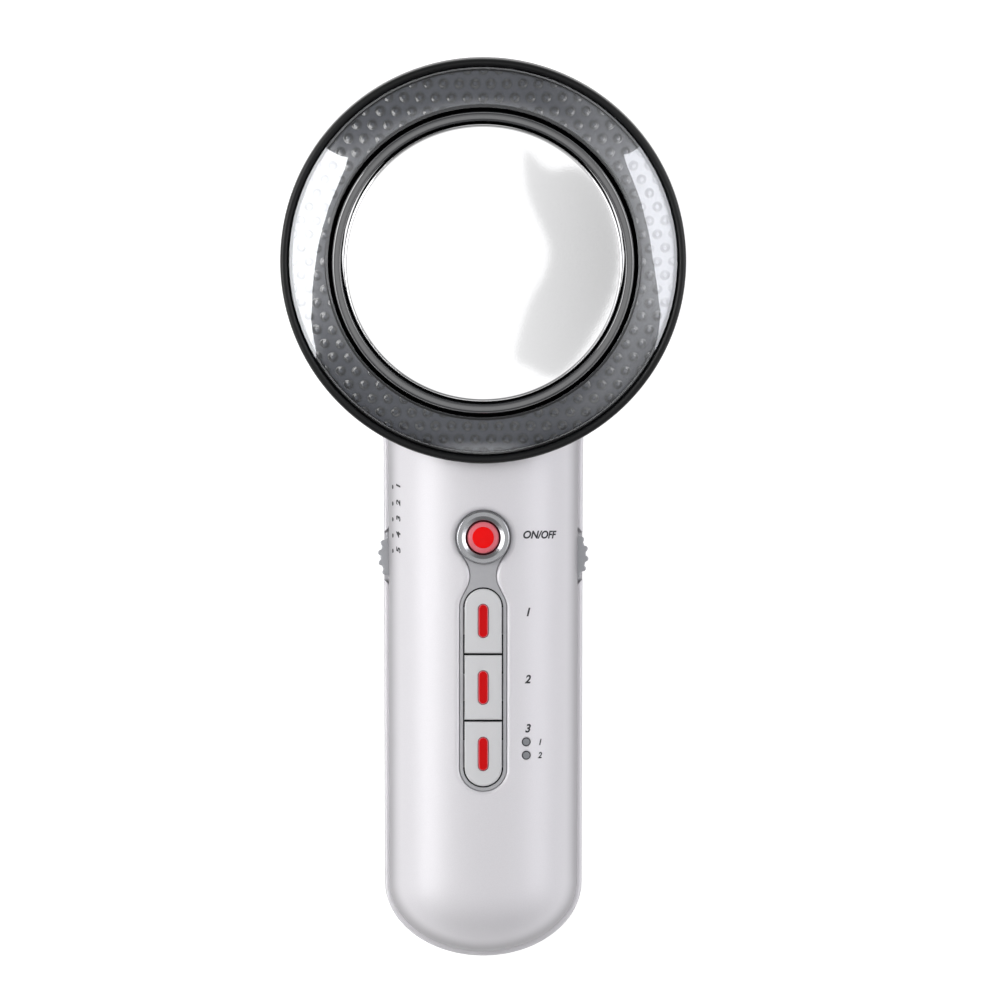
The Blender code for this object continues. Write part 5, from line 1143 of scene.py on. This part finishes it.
def on_front(along, y, lift):
    """The place on the cover's curve at a distance along it from the middle, raised by lift."""
    wider = handle_half_width(y, FRONT_INSET) / front_half_width
    for (near, start), (far, stop) in zip(front_line, front_line[1:]):
        if far >= abs(along):
            break
    place = start.lerp(stop, (abs(along) - near) / (far - near))
    out = Vector((start.y - stop.y, stop.x - start.x)).normalized()
    return math.copysign(place.x * wider + out.x * lift, along), place.y + out.y * lift


def laid_on_front(bm, along, y, quarter_turn=False):
    """Lays a flat print, drawn about its own left foot, on the cover, and returns it as a solid."""
    if quarter_turn:
        quarter = Matrix.Rotation(math.pi / 2, 3, "Z")
        bmesh.ops.rotate(bm, verts=bm.verts, cent=(0, 0, 0), matrix=quarter)
    lows = [point.co.x for point in bm.verts]
    cut_at = min(lows) + INK_STRIP
    while cut_at < max(lows):
        everything = bm.verts[:] + bm.edges[:] + bm.faces[:]
        cut = {"plane_co": (cut_at, 0, 0), "plane_no": (1, 0, 0), "dist": WELD_DISTANCE}
        bmesh.ops.bisect_plane(bm, geom=everything, **cut)
        cut_at += INK_STRIP
    for point in bm.verts:
        lift = INK_THICKNESS if point.co.z > 0 else -INK_ROOT
        x, z = on_front(along + point.co.x, y + point.co.y, lift)
        point.co = (x, y + point.co.y, z)
    return bm


def lettering(words, height):
    """A word or number as a thin flat solid, standing on its foot."""
    curve = bpy.data.curves.new("lettering", "FONT")
    curve.body = words
    curve.size = height / CAPITAL_SHARE
    curve.shear = LABEL_SLANT
    curve.offset = height * STROKE_GROWTH
    curve.extrude = INK_THICKNESS
    drawn = bpy.data.objects.new("lettering", curve)
    bpy.context.collection.objects.link(drawn)
    seen = bpy.context.evaluated_depsgraph_get()
    flat = bpy.data.meshes.new_from_object(drawn.evaluated_get(seen))
    bm = bmesh.new()
    bm.from_mesh(flat)
    bmesh.ops.remove_doubles(bm, verts=bm.verts, dist=WELD_DISTANCE)
    bpy.data.objects.remove(drawn, do_unlink=True)
    return bm


def dot(radius):
    """A round spot as a thin flat solid."""
    bm = bmesh.new()
    size = {"radius1": radius, "radius2": radius, "depth": 2 * INK_THICKNESS}
    bmesh.ops.create_cone(bm, cap_ends=True, segments=24, **size)
    return bm


marks = [(lettering(words, height * MM), across, y, False) for words, height, across, y in MARKS]
for step, y in enumerate(SCALE_PLACES, 1):
    digit = lettering(str(step), SCALE_NUMBER_HEIGHT * MM)
    marks.append((dot(SCALE_DOT_RADIUS * MM), SCALE_DOTS_ACROSS, y, False))
    marks.append((digit, SCALE_NUMBERS_ACROSS, y - SCALE_NUMBER_SHIFT, True))
print_bm = bmesh.new()
for flat, across, y, turned in marks:
    laid = laid_on_front(flat, across * MM, y * MM, turned)
    mark = bpy.data.meshes.new("mark")
    laid.to_mesh(mark)
    laid.free()
    print_bm.from_mesh(mark)
printed = piece_from("printed_marks", print_bm)
dress(printed, INK)

# Thumbwheels: two ribbed wheels that stand 1.3 mm out of the side seams, moulded in ABS and painted
# grey, turning on pins under the board. Their rims have twenty rounded ribs.
WHEEL_TEETH = 20
TOOTH_HEIGHT = 0.6 * MM
TOOTH_STEPS = 14
TOOTH_GAP_SHARE = 0.4
TOOTH_ROUNDNESS = 0.6
WHEEL_EDGE = 0.35 * MM
WHEEL_BORE_RADIUS = 1.3 * MM

# Grey paint on moulded ABS: satin, with a fine grain of 0.3 mm.
WHEEL_GREY = finish(
    "painted_grey_abs_wheel",
    ("#a6a7ab", "#b3b4b8"),
    0.3 * MM,
    0.004 * MM,
    {"Roughness": 0.36, "Metallic": 0.25},
)


def wheel_outline(inset, x):
    """The ribbed rim's outline, brought in by inset."""
    outline = []
    for i in range(WHEEL_TEETH * TOOTH_STEPS):
        share = i % TOOTH_STEPS / TOOTH_STEPS
        lobe = max(share - TOOTH_GAP_SHARE, 0) / (1 - TOOTH_GAP_SHARE)
        rise = math.sin(math.pi * lobe) ** TOOTH_ROUNDNESS
        radius = WHEEL_RADIUS - TOOTH_HEIGHT * (1 - rise) - inset
        turn = 2 * math.pi * i / (WHEEL_TEETH * TOOTH_STEPS)
        outline.append((x + radius * math.cos(turn), WHEEL_Y + radius * math.sin(turn)))
    return outline


for side, label in ((-1, "left"), (1, "right")):
    x, half = side * WHEEL_X, WHEEL_WIDTH / 2
    levels = []
    for turn in EDGE_TURNS:
        levels.append((WHEEL_EDGE * (1 - math.sin(turn)), -half + WHEEL_EDGE * (1 - math.cos(turn))))
    levels += [(inset, -height) for inset, height in reversed(levels)]
    rings = []
    for inset, height in levels:
        rings.append([(*place, PARTING_Z + height) for place in wheel_outline(inset, x)])
    wheel = loft(f"ribbed_wheel_{label}", rings)
    bore = prism(f"wheel_bore_{label}", circle(WHEEL_BORE_RADIUS, x, WHEEL_Y), 0, FRONT_Z)
    shape(wheel, difference=[bore])
    dress(wheel, WHEEL_GREY, f"wheel_{label}", [f"thumbwheel_{label}"])

# Power inlet: a low-voltage socket in the handle's end, black nylon with its contact pin in the
# bore. The adapter plugs in here.
JACK_BORE_RADIUS = 2.8 * MM
JACK_BORE_DEPTH = 9 * MM
JACK_NOSE_LENGTH = 5 * MM
JACK_BODY_LENGTH = 10 * MM
JACK_BODY_HALF_WIDTH = 5 * MM
JACK_PIN_RADIUS = 1 * MM
JACK_PIN_SINK = 1 * MM
JACK_EDGE = 0.4 * MM

# Moulded nylon: black and slightly satin, with a grain of about 0.3 mm.
BLACK_NYLON = finish(
    "moulded_black_nylon", ("#131315", "#1d1d20"), 0.3 * MM, 0.006 * MM, {"Roughness": 0.42, "IOR": 1.53}
)

jack_profile = [
    (0, JACK_PIN_SINK),
    (JACK_PIN_RADIUS / 2, JACK_PIN_SINK),
    (JACK_PIN_RADIUS, JACK_PIN_SINK + JACK_PIN_RADIUS / 2),
    (JACK_PIN_RADIUS, JACK_BORE_DEPTH),
    (JACK_BORE_RADIUS, JACK_BORE_DEPTH),
    *arc(JACK_BORE_RADIUS + JACK_EDGE, JACK_EDGE, JACK_EDGE, math.pi, 1.5 * math.pi, steps=6),
    *arc(SOCKET_RADIUS - JACK_EDGE, JACK_EDGE, JACK_EDGE, -math.pi / 2, 0, steps=6),
    (SOCKET_RADIUS, JACK_NOSE_LENGTH + JACK_BODY_HALF_WIDTH),
    (0, JACK_NOSE_LENGTH + JACK_BODY_HALF_WIDTH),
]
jack = revolve("power_inlet_socket", jack_profile, SOCKET_FRAME, FINE_ROUND_STEPS)
block = rectangle(JACK_BODY_HALF_WIDTH, JACK_BODY_HALF_WIDTH)
block_end = JACK_NOSE_LENGTH + JACK_BODY_LENGTH
jack_body = prism("jack_body", block, JACK_NOSE_LENGTH, block_end, SOCKET_FRAME)
core = circle(SOCKET_RADIUS - JACK_EDGE, steps=FINE_ROUND_STEPS)
jack_core = prism("jack_core", core, 0, JACK_BORE_DEPTH, SOCKET_FRAME)
shape(jack_body, difference=[jack_core])
shape(jack, union=[jack_body])
dress(jack, BLACK_NYLON, replaces=["power_socket"])

# Case screws: four zinc-plated pan-head screws from the back, with a cross recess, at the bottom of
# their wells.
CASE_SCREW_HEAD_HEIGHT = 1.8 * MM
HEAD_SIDE_SHARE = 0.35
DOME_STEPS = 12
SCREW_ROUND_STEPS = 48
RECESS_HALF_WIDTH = 0.35 * MM
RECESS_REACH = 1.5 * MM
RECESS_DEPTH = 0.9 * MM

# Zinc plate on steel: a cool, slightly blurred metal with the fine mottling of the plating, 0.4 mm.
ZINC = finish(
    "barrel_zinc_plated_steel",
    ("#a9adb3", "#bcc0c6"),
    0.4 * MM,
    0.002 * MM,
    {"Metallic": 1.0, "Roughness": 0.32},
)

for number, (x, y) in enumerate(CASE_SCREWS, 1):
    seat = Matrix.Translation((x, y, SCREW_SEAT_Z))
    dome = []
    for across, up in arc(0, 0, 1, math.pi / 2, 0, DOME_STEPS)[1:]:
        level = HEAD_SIDE_SHARE + (1 - HEAD_SIDE_SHARE) * up
        dome.append((CASE_SCREW_HEAD_RADIUS * across, -CASE_SCREW_HEAD_HEIGHT * level))
    screw_profile = [
        (0, -CASE_SCREW_HEAD_HEIGHT),
        *dome,
        (CASE_SCREW_HEAD_RADIUS, 0),
        (CASE_SCREW_RADIUS, 0),
        (CASE_SCREW_RADIUS, CASE_SCREW_LENGTH - CASE_SCREW_RADIUS),
        (0, CASE_SCREW_LENGTH),
    ]
    case_screw = revolve(f"case_screw_{number}", screw_profile, seat, SCREW_ROUND_STEPS)
    low, high = -CASE_SCREW_HEAD_HEIGHT - MM, RECESS_DEPTH - CASE_SCREW_HEAD_HEIGHT
    recesses = []
    for half_x, half_y in ((RECESS_HALF_WIDTH, RECESS_REACH), (RECESS_REACH, RECESS_HALF_WIDTH)):
        recesses.append(prism(f"recess_{number}", rectangle(half_x, half_y), low, high, seat))
    shape(case_screw, difference=recesses)
    dress(case_screw, ZINC, replaces=[f"shell_screw_{number}"])

# Parts inside, as model.glb has them: boards, switches, transformer, lamps, seal, screws and leads,
# each in its own finish.

# Glass epoxy under black solder mask: a very dark grey with the weave showing through, 1.2 mm.
CIRCUIT_BOARD = finish(
    "solder_masked_glass_epoxy",
    ("#121618", "#1a1f22"),
    1.2 * MM,
    0.01 * MM,
    {"Roughness": 0.35, "IOR": 1.5},
)

# Nylon and acetal from small moulds: black and pale grey, satin, with a fine grain.
NYLON_SHADES = ("#18181a", "#222225")
SWITCH_BLACK = finish("moulded_black_nylon_switch", NYLON_SHADES, 0.3 * MM, 0.005 * MM, {"Roughness": 0.45})
STEM_GREY = finish("moulded_grey_acetal", ("#c9cbcc", "#d2d4d5"), 0.5 * MM, 0.003 * MM, {"Roughness": 0.35})

# Fired ceramic: cream, dull and a little grainy.
PIEZO_CERAMIC = finish("fired_piezo_ceramic", ("#cbbf9d", "#d8ccab"), 0.4 * MM, 0.01 * MM, {"Roughness": 0.6})

# Black silicone for the seal and black ABS for the clamp: one dull and soft, the other satin.
SILICONE = finish("moulded_black_silicone", ("#1b1b1c", "#262628"), 0.6 * MM, 0.01 * MM, {"Roughness": 0.65})
RETAINER_ABS = finish("moulded_black_abs", ("#141416", "#1e1e21"), 0.3 * MM, 0.006 * MM, {"Roughness": 0.45})

# Clear epoxy cast round a lamp chip: pale and as smooth as glass.
LAMP_EPOXY = finish(
    "cast_clear_epoxy", ("#b9bdc4", "#c8ccd2"), 2 * MM, 0.002 * MM, {"Roughness": 0.06, "IOR": 1.55}
)

# Transformer: a sintered ferrite core, brown-black and rough, and a winding of enamelled wire, whose
# turns of 0.35 mm show as ripples of brown copper.
FERRITE = finish("sintered_ferrite", ("#2d2c2b", "#3b3a38"), 0.2 * MM, 0.02 * MM, {"Roughness": 0.6})
COPPER_WIRE = finish(
    "enamelled_copper_wire",
    ("#8c4a22", "#a85c2c"),
    0.35 * MM,
    0.03 * MM,
    {"Metallic": 0.9, "Roughness": 0.3},
)

# PVC: shrunk over the capacitor's can in dark blue, and drawn round the leads in red and black.
CAN_SLEEVE = finish("shrunk_pvc_sleeve", ("#20242f", "#2a2f3d"), 1 * MM, 0.004 * MM, {"Roughness": 0.3})
RED_LEAD = finish("extruded_red_pvc", ("#a3161a", "#b31c20"), 0.8 * MM, 0.004 * MM, {"Roughness": 0.38})
BLACK_LEAD = finish("extruded_black_pvc", ("#161618", "#212124"), 0.8 * MM, 0.004 * MM, {"Roughness": 0.38})

INSIDE = {
    "control_board": CIRCUIT_BOARD,
    "lamp_board": CIRCUIT_BOARD,
    "piezo_disc": PIEZO_CERAMIC,
    "probe_gasket": SILICONE,
    "probe_retainer": RETAINER_ABS,
    "transformer_core": FERRITE,
    "transformer_winding": COPPER_WIRE,
    "capacitor": CAN_SLEEVE,
    "probe_lead": RED_LEAD,
    "lamp_lead": BLACK_LEAD,
    "wheel_control_left": SWITCH_BLACK,
    "wheel_control_right": SWITCH_BLACK,
    **{f"tact_switch_{number}": SWITCH_BLACK for number in range(1, 5)},
    **{f"switch_stem_{number}": STEM_GREY for number in range(1, 5)},
    **{f"lamp_{number}": LAMP_EPOXY for number in range(1, 7)},
    **{f"retainer_screw_{number}": ZINC for number in range(1, 4)},
    **{f"rim_screw_{number}": ZINC for number in range(1, 4)},
    **{f"board_screw_{number}": ZINC for number in range(1, 3)},
}
for name, surface in INSIDE.items():
    inside = bpy.data.objects[name]
    for material_slot in inside.material_slots:
        material_slot.material = surface

# Studio: a plain pale floor under the device, a shaped soft lamp to each side, a pale room with a
# small white ceiling patch, and a grey card high up that the mirror disc shows. The floor keeps the
# device's shadow.
FLOOR_SIZE = 6
FLOOR_DROP = 0.2 * MM
FLOOR_GLOW = 0.75
LAMP_DISTANCE = 0.9
LAMP_TILT = math.radians(54)
LAMP_AIM = Vector((0, 0, 0.04))
CARD_LEVEL = 3
CARD_STEPS = 6

# The lamps' outlines, in metres along the device and up the lamp: a hump over a long low strip.
LAMP_STARTS = [(1.0, -0.3), (0.6, -0.2)]
LEFT_HUMP = [
    (0.5, -0.07), (0.4, 0.2), (0.3, 0.28), (0.185, 0.315), (0.07, 0.28), (-0.045, 0.165),
    (-0.185, -0.005), (-0.325, -0.145), (-0.45, -0.2), (-0.56, -0.225), (-0.65, -0.27),
]
RIGHT_HUMP = [
    (0.5, -0.055), (0.45, 0.09), (0.36, 0.135), (0.26, 0.155), (0.095, 0.165), (-0.04, 0.095),
    (-0.185, -0.08), (-0.295, -0.185), (-0.415, -0.22), (-0.5, -0.225), (-0.6, -0.27),
]
LAMP_ENDS = [(-1.3, -0.27), (-1.3, -0.33), (1.0, -0.33)]

# Points that the card's edge passes through, in mm, and the brightness of its left and right side.
CARD_POINTS = [
    (13, -390), (17.5, -394), (22.5, -397.3), (32.5, -396.6), (41, -404.5), (46.8, -423), (45.3, -442),
    (35, -462), (26.5, -472), (20.5, -472.8), (15, -469.8), (10.5, -467.5), (10, -462), (14.5, -446.5),
    (20.2, -435.5), (21.9, -426.5), (20, -420), (14, -405),
]
CARD_SIDES = (10, 47)
CARD_LEVELS = (0.93, 0.66)


def glowing(name, tint, strength):
    """A surface that only gives light."""
    made = bpy.data.materials.new(name)
    made.use_nodes = True
    tree = made.node_tree
    tree.nodes.clear()
    glow = node(tree, "ShaderNodeEmission", {"Color": colour(tint), "Strength": strength})
    node(tree, "ShaderNodeOutputMaterial", {"Surface": glow.outputs[0]})
    return made


def card(name, outline, place, surface):
    """A flat sheet in the studio, which only reflections and light see."""
    bm = bmesh.new()
    bm.faces.new([bm.verts.new((x, y, 0)) for x, y in outline])
    bm.transform(place)
    mesh = bpy.data.meshes.new(name)
    bm.to_mesh(mesh)
    bm.free()
    mesh.materials.append(surface)
    made = bpy.data.objects.new(name, mesh)
    bpy.context.collection.objects.link(made)
    made.visible_camera = False
    return made


floor_bm = bmesh.new()
bmesh.ops.create_grid(floor_bm, x_segments=2, y_segments=2, size=FLOOR_SIZE / 2)
bmesh.ops.translate(floor_bm, verts=floor_bm.verts, vec=(0, 0, -FLOOR_DROP))
floor = piece_from("floor", floor_bm)
FLOOR_PAPER = finish("white_background_paper", ("#bababa", "#bebebe"), 2 * MM, 0.01 * MM, {"Roughness": 0.8})
paper_tree = FLOOR_PAPER.node_tree
path = node(paper_tree, "ShaderNodeLightPath", {})
seen_by_eye = node(
    paper_tree,
    "ShaderNodeMath",
    {0: path.outputs["Is Camera Ray"], 1: path.outputs["Is Glossy Ray"]},
    operation="MAXIMUM",
)
seen = node(
    paper_tree,
    "ShaderNodeMath",
    {0: seen_by_eye.outputs[0], 1: path.outputs["Is Transmission Ray"]},
    operation="MAXIMUM",
)
lift = node(paper_tree, "ShaderNodeMath", {0: seen.outputs[0], 1: FLOOR_GLOW}, operation="MULTIPLY")
paper_shader = paper_tree.nodes["Principled BSDF"]
paper_shader.inputs["Emission Color"].default_value = (1, 1, 1, 1)
paper_tree.links.new(lift.outputs[0], paper_shader.inputs["Emission Strength"])
floor.data.materials.append(FLOOR_PAPER)

for name, side, hump, tint, radiance in (
    ("soft_lamp_left", -1, LEFT_HUMP, "#ffffff", 4.5),
    ("soft_lamp_right", 1, RIGHT_HUMP, "#fcfcff", 3.2),
):
    up = Vector((-side * math.cos(LAMP_TILT), 0, math.sin(LAMP_TILT)))
    away = Vector((side * math.sin(LAMP_TILT), 0, math.cos(LAMP_TILT)))
    turned = Matrix((Vector((0, 1, 0)), up, away)).transposed().to_4x4()
    place = Matrix.Translation(LAMP_AIM + away * LAMP_DISTANCE) @ turned
    outline = LAMP_STARTS + hump + LAMP_ENDS
    card(name, outline, place, glowing(f"{name}_cloth", tint, radiance))

CARD_PAPER = glowing("grey_card_paper", "#ffffff", 1.0)
card_tree = CARD_PAPER.node_tree
card_place = node(card_tree, "ShaderNodeTexCoord", {})
card_x = node(card_tree, "ShaderNodeSeparateXYZ", {0: card_place.outputs["Object"]})
left, right = [side * MM for side in CARD_SIDES]
card_fade = {"Value": card_x.outputs["X"], "From Min": left, "From Max": right}
card_fade |= {"To Min": CARD_LEVELS[0], "To Max": CARD_LEVELS[1]}
card_level = node(card_tree, "ShaderNodeMapRange", card_fade)
card_tree.links.new(card_level.outputs[0], card_tree.nodes["Emission"].inputs["Strength"])
card_edge = [Vector((x * MM, y * MM)) for x, y in CARD_POINTS]
card_outline = []
for i, near in enumerate(card_edge):
    before, far = card_edge[i - 1], card_edge[(i + 1) % len(card_edge)]
    after = card_edge[(i + 2) % len(card_edge)]
    for step in range(CARD_STEPS):
        share = step / CARD_STEPS
        bend = (2 * before - 5 * near + 4 * far - after) * share**2
        twist = (3 * near - before - 3 * far + after) * share**3
        card_outline.append(near + ((far - before) * share + bend + twist) / 2)
card("grey_card", card_outline, Matrix.Translation((0, 0, CARD_LEVEL)), CARD_PAPER)

world = bpy.data.worlds.new("studio_ceiling")
bpy.context.scene.world = world
world.use_nodes = True
sky = world.node_tree
backdrop = sky.nodes["Background"]
way = node(sky, "ShaderNodeTexCoord", {})
way_parts = node(sky, "ShaderNodeSeparateXYZ", {0: way.outputs["Generated"]})
endways = node(sky, "ShaderNodeMath", {0: way_parts.outputs["Y"]}, operation="ABSOLUTE")

# The room, by direction: the ceiling fades toward head and handle end, the right wall adds light,
# everything low is dimmer, and both far ends glow again.
fades = []
for direction, start, stop, low, high in (
    (endways.outputs[0], 0.15, 0.6, 0.7, 0.25),
    (way_parts.outputs["X"], 0.25, 0.7, 0.0, 0.35),
    (way_parts.outputs["Z"], 0.1, 0.5, 0.3, 1.0),
    (endways.outputs[0], 0.93, 0.98, 0.0, 0.8),
):
    bounds = {"From Min": start, "From Max": stop, "To Min": low, "To Max": high}
    bounds["Value"] = direction
    fade = node(sky, "ShaderNodeMapRange", bounds, interpolation_type="SMOOTHSTEP")
    fades.append(fade.outputs[0])
ceiling_fade, right_wall, low_share, end_glow = fades
walls = node(sky, "ShaderNodeMath", {0: ceiling_fade, 1: right_wall}, operation="ADD")
room = node(sky, "ShaderNodeMath", {0: walls.outputs[0], 1: low_share}, operation="MULTIPLY")
room_level = node(sky, "ShaderNodeMath", {0: room.outputs[0], 1: end_glow}, operation="ADD")

# The white patch stands where the tilted disc mirrors the eye: 2.5 degrees wide, fading out by 4.
PATCH_MIDDLE = (0, -math.sin(2 * HEAD_TILT), math.cos(2 * HEAD_TILT))
PATCH_FADE = (math.cos(math.radians(4)), math.cos(math.radians(2.5)))
PATCH_LEVEL = 1.25
toward_inputs = {0: way.outputs["Generated"], 1: PATCH_MIDDLE}
toward = node(sky, "ShaderNodeVectorMath", toward_inputs, operation="DOT_PRODUCT")
patch = {"Value": toward.outputs["Value"], "From Min": PATCH_FADE[0], "From Max": PATCH_FADE[1]}
patch |= {"To Min": room_level.outputs[0], "To Max": PATCH_LEVEL}
sky_level = node(sky, "ShaderNodeMapRange", patch, interpolation_type="SMOOTHSTEP")
eye = node(sky, "ShaderNodeLightPath", {})
eye_inputs = {0: eye.outputs["Is Camera Ray"], 2: sky_level.outputs[0], 3: 1.0}
level = node(sky, "ShaderNodeMix", eye_inputs, data_type="FLOAT")
sky.links.new(level.outputs[0], backdrop.inputs["Strength"])
backdrop.inputs["Color"].default_value = (1, 1, 1, 1)

# Camera: straight above the device, far away, as in the picture.
CAMERA_DISTANCE = 5
CAMERA_TARGET = Vector((3.83 * MM, 1.71 * MM, 35 * MM))
FRAME_WIDTH = 228 * MM
SENSOR_WIDTH = 36
camera = bpy.data.objects.new("camera", bpy.data.cameras.new("camera"))
camera.data.sensor_width = SENSOR_WIDTH
camera.data.lens = SENSOR_WIDTH * CAMERA_DISTANCE / FRAME_WIDTH
camera.data.clip_end = 50
camera.location = CAMERA_TARGET + Vector((0, 0, CAMERA_DISTANCE))
bpy.context.collection.objects.link(camera)
bpy.context.scene.camera = camera
bpy.context.scene.view_settings.view_transform = "Standard"
